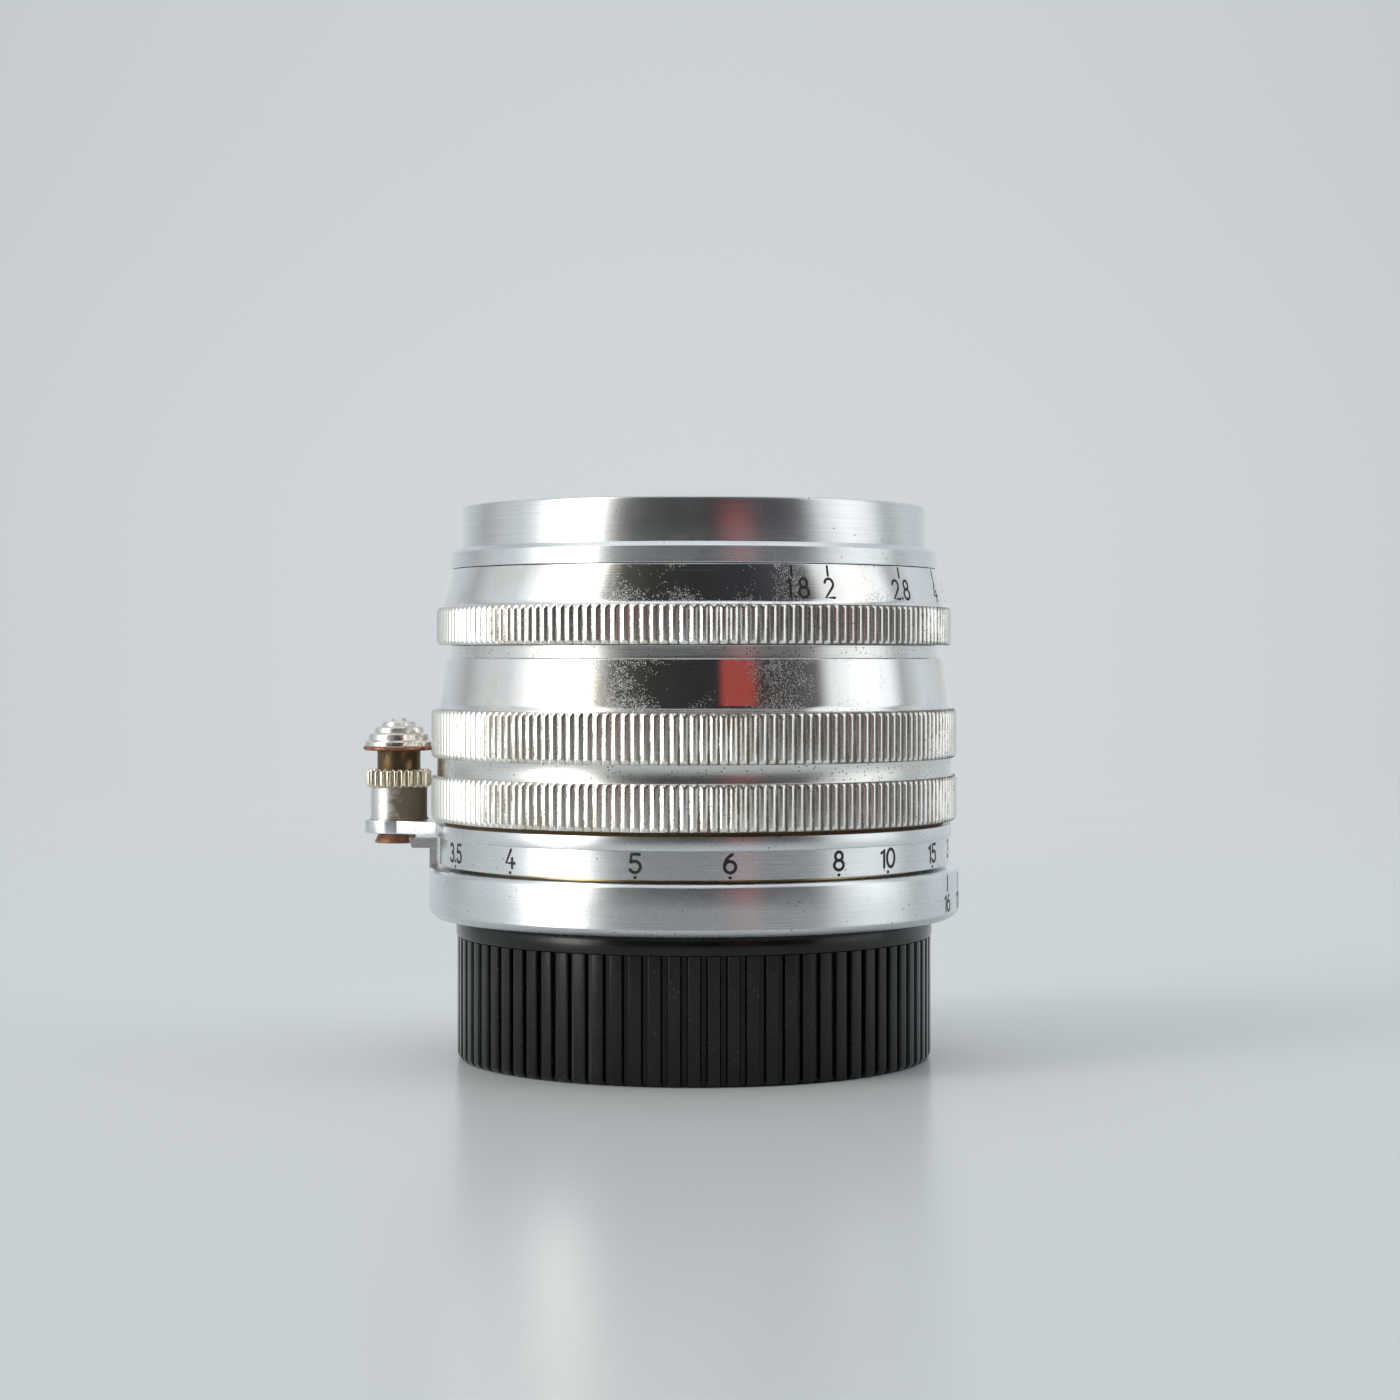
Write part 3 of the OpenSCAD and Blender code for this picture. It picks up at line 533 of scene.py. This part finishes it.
def threaded(name, corners, crest, pitch, depth, z0, z1, inside=False):
    """A turned section with a helical thread cut into its wall between z0 and z1.

    corners holds (r, z), with None where the thread goes. crest is the wall's radius before the thread
    is cut; on an inside wall the thread stands outwards from it.
    """
    step = pitch / 8
    rows = []
    for corner in corners:
        if corner is not None:
            rows.append((*corner, 0))
            continue
        wall = np.arange(z0, z1 + step / 2, step)
        wall = wall[::-1] if inside else wall
        rows += [(None, float(z), 1) for z in wall]
    angles = even_angles(192)
    radius = np.zeros((len(angles), len(rows)))
    run_out = 0.4 * pitch
    for j, (r, z, cut) in enumerate(rows):
        if not cut:
            radius[:, j] = r
            continue
        phase = (z / pitch - angles / 360) % 1
        wave = np.clip(1.6 * np.abs(2 * phase - 1) - 0.3, 0, 1)
        share = max(min(1.0, (z - z0) / run_out, (z1 - z) / run_out), 0)
        radius[:, j] = crest + (1 if inside else -1) * depth * wave * share
    points = revolved(radius, np.array([z for _, z, _ in rows]), angles)
    obj = make_object(name, points, grid_faces(len(angles), len(rows), True))
    shade(obj, 38)
    return obj


mount = threaded(
    "mount_thread",
    [(18.35, -5), (19.15, -5), (19.4, -4.8), None, (19.0, -1.0), (19.0, 0), (21.8, 0), (21.8, 1.6),
     (18.35, 1.6)],
    crest=19.5, pitch=0.977, depth=0.5, z0=-4.7, z1=-1.05)
show(mount, "mount_ring", "satin_chrome")

helicoid = threaded(
    "fixed_helicoid_tube",
    [(18.23, 1.6), (21, 1.6), (21, 4.4), None, (20.8, 11.9), (18.23, 11.9)],
    crest=21.0, pitch=0.8, depth=0.22, z0=4.8, z1=11.6)
show(helicoid, "outer_helicoid", "yellow_brass")

# the base ring has a pocket that the infinity catch is let into
POCKET_HALF = math.degrees(1.3 / 23.9)  # half its width, as an angle
base_columns = [(a, 0) for a in np.arange(-90 + POCKET_HALF, 270 - POCKET_HALF, 1.25)]
base_columns += [
    (270 - POCKET_HALF, 0), (270 - POCKET_HALF + 0.01, 1), (270, 1), (270 + POCKET_HALF - 0.01, 1)]
base_rows = (
    plain((21.8, 0), (23.36, 0), (23.46, 0.04), (23.93, 0.5), (24, 0.64), (24, 2.19))
    + [(24, 2.2, 1), (24, 4.06, 1), (23.97, 4.16, 1), (23.8, 4.36, 1), (23.7, 4.4, 1)]
    + plain((21, 4.4), (21, 1.6), (21.8, 1.6))
)
base_ring = toothed("base_ring", base_rows, 24, 0.7, base_columns, crease=24)
show(base_ring, "depth_scale_ring", "satin_chrome")

for bevelled in ("infinity_catch", "catch_screws", "drive_screws", "mount_screws"):
    edge = frame["nodes"][bevelled].modifiers.new("edges", "BEVEL")
    edge.width = 0.05 * MM
    edge.segments = 2
    edge.limit_method = "ANGLE"

# ------------------------------------------------------------------ focusing group

scale_ring = turned("distance_band", [(21.3, 4.7), (23.05, 4.7, 0.08), (23.05, 7.15, 0.04), (21.3, 7.15)])
show(scale_ring, "distance_scale_ring", "satin_chrome")

POST_AZIMUTH, POST_DIST = -98, 27.5
PLATE_R, LUG_R = 23.3, 3.15
FLANK_END = math.radians(13)  # where the lug's flank reaches the plate's circle
FLANK_SOFTNESS = 0.18
post_at = tuple(float(v) for v in circle_points(POST_DIST, POST_AZIMUTH))


def lug_radius(offset):
    """Outline of the lever plate: its radius at an angle from the post's azimuth, in degrees."""
    a = math.radians(abs(offset))
    touch = math.asin(LUG_R / POST_DIST)
    if a < touch:
        return POST_DIST * math.cos(a) + math.sqrt(LUG_R ** 2 - (POST_DIST * math.sin(a)) ** 2)
    if a >= FLANK_END:
        return PLATE_R
    # a straight flank from the round end, let into the ring with a hollow curve
    x0, y0 = POST_DIST * math.cos(touch) ** 2, POST_DIST * math.cos(touch) * math.sin(touch)
    x1, y1 = PLATE_R * math.cos(FLANK_END), PLATE_R * math.sin(FLANK_END)
    flank = ((y1 - y0) * x0 - (x1 - x0) * y0) / ((y1 - y0) * math.cos(a) - (x1 - x0) * math.sin(a))
    return PLATE_R + math.hypot(max(flank - PLATE_R, 0), FLANK_SOFTNESS) - FLANK_SOFTNESS


plate_offsets = [*np.round(np.arange(-15, 15.01, 0.2), 3), *np.arange(16.5, 344, 1.5)]
plate_rows = [
    (21.3, 7.15, 0), (-0.1, 7.15, 1), (-0.03, 7.18, 1), (0, 7.25, 1), (0, 8.25, 1), (-0.03, 8.32, 1),
    (-0.1, 8.35, 1), (21.3, 8.35, 0)]
plate_points = []
for offset in plate_offsets:
    edge_r = lug_radius(offset)
    for r, z, outer in plate_rows:
        x, y = circle_points(edge_r + r if outer else r, POST_AZIMUTH + offset)
        plate_points.append((x, y, z))
plate = make_object("lever_plate_ring", plate_points, grid_faces(len(plate_offsets), len(plate_rows), True))
shade(plate, 24)
show(plate, "lever_plate", "satin_chrome")

TOOTH = [(0, 0), (0.05, 0.01), (0.09, 0.06), (0.26, 0.5), (0.42, 0.93), (0.45, 0.98), (0.5, 1)]
focus_rows = (
    plain((21.3, 8.35), (22.6, 8.35), (22.6, 8.7), (23.2, 8.7))
    + band(23.6, 23.8, 8.7, 12.7, 0.36)
    + plain((23.34, 12.7), (23.3, 12.76), (23.3, 14.24), (23.34, 14.3))
    + band(23.6, 23.8, 14.3, 18.6, 0.36)
    + plain((23.1, 18.6), (20.6, 18.6), (20.6, 16.2), (18.6, 16.2), (18.6, 14.7), (21.3, 14.7))
)
focus = toothed("focusing_knurls", focus_rows, 23.8, 0.2, tooth_columns(180, TOOTH, 0.1), crease=44)
show(focus, "focusing_ring", "knurled_nickel")
# the recessed neck under the lower knurl is painted dark brown: rust along the line, and painted shade of the
# gap above the lever plate
finish_by_height(
    focus, ["groove_nickel", "rust_and_shade_line"], lambda z: 1 if 12.7 < z < 14.3 else 2 if z < 8.69 else 0)

# ------------------------------------------------------------------ lock button

post = turned("button_post", [
    (1.05, 8.35), (2.75, 8.35, 0.1), (2.6, 8.6, 0.15), (2.6, 11.3, 0.03), (2.03, 11.3), (2.03, 9.2),
    (1.05, 9.2)], 0.02, 96, post_at)
show(post, "lever_post", "post_nickel")
collar_rows = (
    plain((2.03, 11.3), (2.65, 11.3)) + band(2.72, 3.0, 11.3, 13.0, 0.26) + plain((2.65, 13), (2.03, 13)))
COLLAR_TOOTH = [(0, 0), (0.1, 0.02), (0.18, 0.1), (0.26, 0.3), (0.34, 0.62), (0.42, 0.9), (0.5, 1)]
collar = toothed("button_collar", collar_rows, 3.0, 0.28, tooth_columns(26, COLLAR_TOOTH, 0.15), post_at)
show(collar, "lever_collar", "collar_brass")
stem = turned("button_neck", [
    (0, 7.1), (1, 7.1), (1, 12.4), (1.98, 12.4), (1.98, 14.7), (0, 14.7)], 0.05, 96, post_at)
show(stem, "lock_stem", "brown_brass")
dome = turned("button_dome", [
    (0, 14.7), (3.05, 14.7, 0.08), (3.27, 14.82, 0.08), (3.25, 15.0, 0.08), (3.1, 15.12, 0.03),
    (3.08, 15.5, 0.1), (2.78, 15.64, 0.03), (2.74, 16.2, 0.14), (2.3, 16.34, 0.03), (2.16, 16.82, 0.16),
    (1.62, 16.94, 0.03), (1.42, 17.34, 0.16), (0.78, 17.42, 0.03), (0.56, 17.66, 0.14), (0, 17.7)],
    0.06, 128, post_at)
show(dome, "lock_button", "worn_nickel")
finish_by_height(dome, ["bare_copper"], lambda z: int(z < 15.08))

SPRING_FOOT, SPRING_TOP, SPRING_TRAVEL = 9.2, 12.4, 1.5
COIL_R, WIRE_R, COILS = 1.5, 0.18, 3.5
PER_COIL, WIRE_SIDES = 36, 12
spring_length = SPRING_TOP - SPRING_FOOT
rings = int(COILS * PER_COIL)
spring_points = []
for k in range(rings + 1):
    turn = math.tau * k / PER_COIL
    level = SPRING_FOOT + WIRE_R + (spring_length - 2 * WIRE_R) * k / rings
    for side in range(WIRE_SIDES):
        a = math.tau * side / WIRE_SIDES
        r = COIL_R + WIRE_R * math.cos(a)
        x, y = post_at[0] + r * math.cos(turn), post_at[1] + r * math.sin(turn)
        spring_points.append((x, y, level + WIRE_R * math.sin(a)))
spring_faces = []
for k in range(rings):
    for side in range(WIRE_SIDES):
        a, b = k * WIRE_SIDES + side, k * WIRE_SIDES + (side + 1) % WIRE_SIDES
        spring_faces.append((a, b, b + WIRE_SIDES, a + WIRE_SIDES))
spring_faces.append(range(WIRE_SIDES - 1, -1, -1))
spring_faces.append(range(rings * WIRE_SIDES, (rings + 1) * WIRE_SIDES))
spring = make_object("coil_spring", spring_points, spring_faces)
spring.data.materials.append(materials["spring_steel"])
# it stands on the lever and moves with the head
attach(spring, "head")
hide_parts("button_spring")
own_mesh(spring)

FOOT_R, FOOT_FLAT = 2.24, 1.3
foot_columns = []
for a in np.arange(0, 360, 3.0):
    # the flat is on the side that faces the lens
    inward = math.cos(math.radians(a - POST_AZIMUTH - 180))
    limit = min(FOOT_R, FOOT_FLAT / inward) if inward > 0 else FOOT_R
    foot_columns.append((a, (FOOT_R - limit) / FOOT_R))
foot_rows = [(0.2, 6.2, 0), (2.12, 6.2, 1), (FOOT_R, 6.3, 1), (1.86, 7.04, 1), (1.74, 7.1, 1), (0.2, 7.1, 0)]
foot = toothed("button_foot", foot_rows, FOOT_R, FOOT_R, foot_columns, post_at, 30)
show(foot, "lock_foot", "bare_copper")

# ------------------------------------------------------------------ barrel and aperture ring

cone = turned("polished_cone", [
    (20.3, 18.6), (23.36, 18.6, 0.06), (23.38, 18.7, 0.05), (23.2, 19.1, 0.9), (22.66, 23.1, 0.1),
    (22.58, 23.2, 0.06), (22, 23.2, 0.03), (22, 24.3), (20.3, 24.3)], 0.05, 320)
show(cone, "barrel_cone", "cone_chrome")
finish_by_height(cone, ["pitted_chrome"], lambda z: int(z > 23.15))

CONE_FOOT, CONE_TOP = (22.7265, 28.2), (22.13, 31.02)
aperture_rows = (
    plain((20.33, 24.35), (22.7, 24.35))
    + band(23.11, 23.3, 24.35, 27.7, 0.32)
    + plain((23.0, 27.7), (22.94, 27.74), (22.85, 27.84), (22.775, 28.0), CONE_FOOT, CONE_TOP, (22.08, 31.12),
            (21.98, 31.15), (20.33, 31.15))
)
aperture = toothed(
    "aperture_knurl_and_cone", aperture_rows, 23.3, 0.19, tooth_columns(174, TOOTH, 0.1), crease=44)
show(aperture, "aperture_ring", "knurled_chrome")
finish_by_height(aperture, ["aperture_chrome"], lambda z: int(z > 27.7))

index = turned("index_band", [
    (20, 31.2), (22, 31.2, 0.08), (22, 32.6, 0.06), (21.6, 33, 0.06), (20, 33)], 0.05, 320)
show(index, "index_ring", "satin_chrome")
rim = threaded(
    "filter_rim",
    [(20.1, 33), (21, 33), (21, 36.55), (20.93, 36.72), (20.78, 36.8), (20.03, 36.8), (19.85, 36.68),
     (19.76, 36.52), None, (20.1, 33.6)],
    crest=19.73, pitch=0.5, depth=0.26, z0=33.75, z1=36.4, inside=True)
show(rim, "filter_ring", "rim_chrome")
funnel = turned("front_funnel", [
    (14.2, 29.65), (15, 29.3), (15, 29.9), (19, 32.6), (19, 33), (19.7, 33), (19.7, 33.3, 0.05),
    (19.2, 33.3, 0.1), (14.2, 30.05, 0.05)], 0.03)
show(funnel, "name_ring", "black_paint")

# ------------------------------------------------------------------ glass


def arc(radius, centre_z, r_from, r_to, steps=24):
    """Section points of a ball's surface; a negative radius takes its lower half."""
    out = []
    for i in range(steps + 1):
        r = r_from + (r_to - r_from) * i / steps
        h = math.sqrt(radius ** 2 - r ** 2)
        out.append((r, centre_z + (h if radius > 0 else -h)))
    return out


def lens_element(name, lower, upper):
    """A glass element from its lower surface, axis outwards, and its upper one, rim inwards."""
    section = np.array(lower + upper)
    angles = even_angles(192)
    rows = len(section)
    faces = grid_faces(len(angles), rows, False)
    for j in (0, rows - 1):
        faces[faces % rows == j] = j
    obj = make_object(name, revolved(section[:, 0], section[:, 1], angles), faces)
    shade(obj, 30)
    return obj


elements = {
    "glass_1": (arc(76.1, 29 - 76.1, 0, 15), arc(28.1, 33.4 - 28.1, 15, 0)),
    "glass_2": ([(0, 22.35), (13.6, 22.35)], arc(19.5, 28.6 - 19.5, 13.6, 0)),
    "glass_3": (arc(12.12, 20.45 - 12.12, 0, 9.58) + [(12.5, 15.73)], [(12.5, 22.35), (0, 22.35)]),
    "glass_4": ([(0, 5.55), (11.4, 5.55)], [(11.4, 11.01)] + arc(-14.19, 7.45 + 14.19, 9.42, 0)),
    "glass_5": (arc(-18.96, 0.05 + 18.96, 0, 11.4), [(11.4, 5.55), (0, 5.55)]),
    "glass_6": (arc(-39.7, -3.85 + 39.7, 0, 12), arc(88.7, -0.35 - 88.7, 12, 0)),
}
for node_name, (lower, upper) in elements.items():
    show(lens_element(node_name + "_surface", lower, upper), node_name, "coated_glass")

# ------------------------------------------------------------------ engraved scales


def sweep(cx, cy, rx, ry, start, end, steps=14):
    """Points of an elliptical arc, angles in degrees."""
    angles = np.radians(np.linspace(start, end, steps))
    return [(cx + rx * math.cos(a), cy + ry * math.sin(a)) for a in angles]


def lying_eight(t):
    """A point of the infinity sign."""
    reach = 1 + math.sin(t) ** 2
    return 0.55 + 0.53 * math.cos(t) / reach, 0.45 + 0.9 * math.sin(t) * math.cos(t) / reach


# each glyph: (width, strokes), drawn in a box one unit tall
GLYPHS = {
    "0": (0.56, [sweep(0.28, 0.5, 0.28, 0.5, 90, 450, 26)]),
    "1": (0.26, [[(0.02, 0.8), (0.22, 1), (0.22, 0)]]),
    "2": (0.56, [sweep(0.28, 0.72, 0.26, 0.28, 165, -38, 14) + [(0.02, 0), (0.56, 0)]]),
    "3": (0.54, [sweep(0.25, 0.755, 0.23, 0.245, 150, -90, 14), sweep(0.25, 0.26, 0.28, 0.26, 90, -150, 16)]),
    "4": (0.6, [[(0.36, 1), (0.02, 0.26), (0.6, 0.26)], [(0.44, 0.52), (0.44, 0)]]),
    "5": (0.54, [[(0.48, 1), (0.1, 1), (0.05, 0.52)] + sweep(0.26, 0.31, 0.27, 0.31, 130, -150, 16)]),
    "6": (0.56, [sweep(0.28, 0.31, 0.27, 0.31, 90, 450, 24), sweep(0.6, 0.3, 0.59, 0.74, 180, 112, 10)]),
    "8": (0.56, [sweep(0.28, 0.76, 0.21, 0.24, 90, 450, 22), sweep(0.28, 0.27, 0.27, 0.27, 90, 450, 24)]),
    ".": (0.1, [[(0.04, 0.04), (0.06, 0.05)]]),
    "inf": (1.1, [[lying_eight(t) for t in np.linspace(0, math.tau, 40)]]),
}


def ribbon(stroke, width):
    """Outline quads of a pen stroke with round ends: (points, faces)."""
    pts = np.array(stroke, float)
    closed = np.allclose(pts[0], pts[-1])
    direction = np.gradient(pts, axis=0)
    if closed:
        direction[0] = direction[-1] = pts[1] - pts[-2]
    direction /= np.linalg.norm(direction, axis=1)[:, None]
    side = np.stack([-direction[:, 1], direction[:, 0]], -1) * width / 2
    points = list(pts + side) + list(pts - side)
    n = len(pts)
    faces = [(k, k + n, k + n + 1, k + 1) for k in range(n - 1)]
    if not closed:
        for at, way in ((0, -1), (n - 1, 1)):
            centre = len(points)
            points.append(pts[at])
            heading = math.atan2(direction[at, 1] * way, direction[at, 0] * way)
            fan = [heading - math.pi / 2 + math.pi * k / 8 for k in range(9)]
            points += [pts[at] + width / 2 * np.array([math.cos(a), math.sin(a)]) for a in fan]
            faces += [(centre, centre + k, centre + k + 1) for k in range(1, 9)]
    return points, faces


def text_strokes(text, height, pen, wide=1.0):
    """Strokes of a figure, centred on u = 0, with their lower edge at v = 0."""
    symbols = [text] if text in GLYPHS else list(text)
    gap = 0.17
    total = sum(GLYPHS[c][0] for c in symbols) + gap * (len(symbols) - 1)
    at, out = -total / 2, []
    scale = height - pen
    for c in symbols:
        width, strokes = GLYPHS[c]
        out += [[((at + x) * scale * wide, pen / 2 + y * scale) for x, y in s] for s in strokes]
        at += width + gap
    return out


FIGURE_LIFT = 0.012  # the figures are flat strips this far off the metal


def engrave(name, body, marks, surface, pen):
    """Wraps marks around a turned surface.

    marks holds (azimuth, z, strokes, pen or None), and surface gives the radius at z.
    """
    points, faces = [], []
    for azimuth, z0, strokes, own_pen in marks:
        for stroke in strokes:
            local, quads = ribbon(stroke, own_pen or pen)
            start = len(points)
            for u, v in local:
                r = surface(z0 + v) + FIGURE_LIFT
                x, y = circle_points(r, azimuth + math.degrees(u / r))
                points.append((float(x), float(y), z0 + v))
            faces += [tuple(start + k for k in quad) for quad in quads]
    obj = make_object(name, points, faces)
    obj.data.materials.append(materials["scale_paint"])
    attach(obj, body)
    return obj


INFINITY_INDEX = 101.5
distances = [
    ("3.5", -65.1), ("4", -42.8), ("5", -12.3), ("6", 7.5), ("8", 32), ("10", 46), ("15", 65), ("30", 83),
    ("inf", INFINITY_INDEX)]
distance_marks = []
for label, azimuth in distances:
    tall, low = (1.1, 5.5) if label == "inf" else (1.8, 5.2)
    distance_marks.append((azimuth, low, text_strokes(label, tall, 0.27, 1.15), None))
    distance_marks.append((azimuth, 4.92, [[(-0.03, 0), (0.03, 0)]], 0.26))
engrave("distance_figures", "head", distance_marks, lambda z: 23.05, 0.27)

# depth of field: a blur of 0.0323 mm, on a thread that moves 5.6 mm a turn
depth_marks = [(INFINITY_INDEX, 2.6, [[(0, 0), (0, 1.42)]], 0.3)]
for stop in (4, 5.6, 8, 11, 16):
    offset = stop * 0.0323 / 5.6 * 360
    for way in (-1, 1):
        azimuth = INFINITY_INDEX + way * offset
        depth_marks.append((azimuth, 2.75, [[(0, 0), (0, 1.25)]], 0.2))
        if stop != 5.6:
            depth_marks.append((azimuth, 0.85, text_strokes(f"{stop:g}", 1.65, 0.2, 1.05), None))
engrave("depth_figures", "mount", depth_marks, lambda z: 24.0, 0.2)



def cone_radius(z):
    """The aperture ring's cone."""
    (r0, z0), (r1, z1) = CONE_FOOT, CONE_TOP
    return r0 + (z - z0) * (r1 - r0) / (z1 - z0)


APERTURE_INDEX = 98.6
stops = [
    ("1.8", 22.7), ("2", 30.4), ("2.8", 52.5), ("4", 71.1), ("5.6", 86.3), ("8", APERTURE_INDEX),
    ("11", 108.7), ("16", 117)]
aperture_marks = []
for label, azimuth in stops:
    aperture_marks.append((azimuth, 28.16, text_strokes(label, 1.86, 0.25), None))
    tick = azimuth - 1.2 if label == "1.8" else azimuth
    aperture_marks.append((tick, 30.15, [[(0, 0), (0, 0.8)]], 0.2))
engrave("aperture_figures", "aperture", aperture_marks, cone_radius, 0.23)
engrave("aperture_index", "head", [(APERTURE_INDEX, 31.35, [[(0, 0), (0, 1.1)]], 0.26)], lambda z: 22.0, 0.26)

# ------------------------------------------------------------------ stage

FLOOR_Z = -12.81
AROUND = 96
floor_rings = [30, 60, 120, 240, 480, 900, 1600]
floor_points = []
for radius in floor_rings:
    for k in range(AROUND):
        x, y = circle_points(radius, k * 360 / AROUND)
        floor_points.append((x, y, FLOOR_Z))
floor_faces = [range(AROUND)]
for ring in range(len(floor_rings) - 1):
    for k in range(AROUND):
        a, b = ring * AROUND + k, ring * AROUND + (k + 1) % AROUND
        floor_faces.append((a, a + AROUND, b + AROUND, b))
floor = make_object("table_top", floor_points, floor_faces)
for polygon in floor.data.polygons:
    if polygon.normal.z < 0:
        polygon.flip()

s = Shader("table_top")
s.set(Base_Color=s.mix(s.noise(0.01, 3), (0.655, 0.68, 0.69), (0.665, 0.69, 0.70)), Roughness=0.24)
s.set(Specular_IOR_Level=0.08)
# it fades into the backdrop
s.set(Alpha=s.span(s.from_axis(), 160, 620, 1.0, 0.0))
floor.data.materials.append(s.material)

# ------------------------------------------------------------------ world

world = bpy.data.worlds.new("studio")
bpy.context.scene.world = world
world.use_nodes = True
w = Nodes(world.node_tree)
w.interpolation = "SMOOTHSTEP"
coords = w.add("ShaderNodeTexCoord")
parts = w.add("ShaderNodeSeparateXYZ")
w.join(coords.outputs["Generated"], parts.inputs[0])
x_out, y_out, z_out = parts.outputs
azimuth = w.math("MULTIPLY", w.math("ARCTAN2", x_out, w.math("MULTIPLY", y_out, -1.0)), 180 / math.pi)
elevation = w.math("MULTIPLY", w.math("ARCSINE", z_out), 180 / math.pi)

# what stands around the table at eye level, from behind the lens on its left: (azimuth, colour)
SURROUNDINGS = [
    (-180, (0.74, 0.78, 0.80)), (-142, (0.58, 0.63, 0.66)), (-124, (0.42, 0.44, 0.45)),
    (-110, (0.62, 0.65, 0.66)), (-92, (0.70, 0.76, 0.79)), (-82, (1.1, 1.12, 1.1)),
    (-72, (2.6, 2.6, 2.5)), (-66, (5.2, 5.1, 4.8)),
    (-57, (5.2, 5.1, 4.8)), (-49, (2.4, 2.35, 2.25)), (-43, (0.5, 0.5, 0.48)), (-36, (0.09, 0.095, 0.09)),
    (-20, (0.04, 0.041, 0.038)), (2, (0.03, 0.03, 0.032)), (28, (0.04, 0.038, 0.045)),
    (46, (0.07, 0.068, 0.075)), (57, (0.14, 0.14, 0.14)), (64, (0.85, 0.87, 0.87)), (82, (1.3, 1.34, 1.34)),
    (99, (1.0, 1.05, 1.06)), (108, (0.42, 0.45, 0.46)), (124, (0.66, 0.71, 0.74)), (146, (0.60, 0.65, 0.68)),
    (180, (0.74, 0.78, 0.80)),
]
BRIGHTEST = 6.0
ramp = w.add("ShaderNodeValToRGB")
w.join(w.math("ADD", w.math("MULTIPLY", azimuth, 1 / 360), 0.5), ramp.inputs[0])
for k, (stop_azimuth, colour) in enumerate(SURROUNDINGS):
    position = stop_azimuth / 360 + 0.5
    # a new ramp has its first two stops already
    stop = ramp.color_ramp.elements[k] if k < 2 else ramp.color_ramp.elements.new(position)
    stop.position = position
    stop.color = (*[v / BRIGHTEST for v in colour], 1)
around = w.scaled(ramp.outputs[0], BRIGHTEST)

# a red cloth, paler and narrower near eye level
RED_CLOTH = (0.38, 0.075, 0.066)
PALE_CLOTH = (0.5, 0.24, 0.23)
left_edge = w.span(elevation, 3, 12, 16, 10)
red = w.math("MULTIPLY", w.span(w.math("SUBTRACT", azimuth, left_edge), 0, 4), w.span(azimuth, 31, 25))
red = w.math("MULTIPLY", red, w.span(elevation, 22, 16))
red = w.math("MULTIPLY", red, w.span(elevation, -6, 14, 0.3, 1.0))
light = w.mix(red, around, w.mix(w.span(elevation, 3, 12), PALE_CLOTH, RED_CLOTH))

OVERHEAD = (0.95, 1.0, 1.03)
BELOW = (0.55, 0.58, 0.6)
light = w.mix(w.span(elevation, 40, 62), light, OVERHEAD)
light = w.mix(w.span(elevation, -4, -14), light, BELOW)

# what the camera sees behind the table, a little darker towards the sides
BACKDROP_LOW = (0.640, 0.675, 0.700)
BACKDROP_HIGH = (0.600, 0.640, 0.665)
backdrop = w.mix(w.span(elevation, 2, 14), BACKDROP_LOW, BACKDROP_HIGH)
falloff = w.math("MINIMUM", w.math("MULTIPLY", x_out, x_out), 0.07)
backdrop = w.scaled(backdrop, w.math("SUBTRACT", 1.0, w.math("MULTIPLY", falloff, 1.25)))
path = w.add("ShaderNodeLightPath")
choose = w.add("ShaderNodeMixShader")
w.join(path.outputs["Is Camera Ray"], choose.inputs[0])
for socket, seen in ((choose.inputs[1], light), (choose.inputs[2], backdrop)):
    background = w.add("ShaderNodeBackground")
    w.join(seen, background.inputs[0])
    w.join(background.outputs[0], socket)
world_out = w.add("ShaderNodeOutputWorld")
w.join(choose.outputs[0], world_out.inputs[0])

# ------------------------------------------------------------------ camera

camera_data = bpy.data.cameras.new("camera")
camera_data.lens = 74.6
camera_data.sensor_width = 36
camera_data.shift_x = 0.0043
camera_data.shift_y = -0.030
camera_data.clip_start = 0.01
camera = bpy.data.objects.new("camera", camera_data)
camera.location = (0, -0.264, 0.0232)
camera.rotation_euler = (math.pi / 2, 0, 0)
bpy.context.scene.collection.objects.link(camera)
bpy.context.scene.camera = camera
bpy.context.scene.view_settings.view_transform = "Standard"
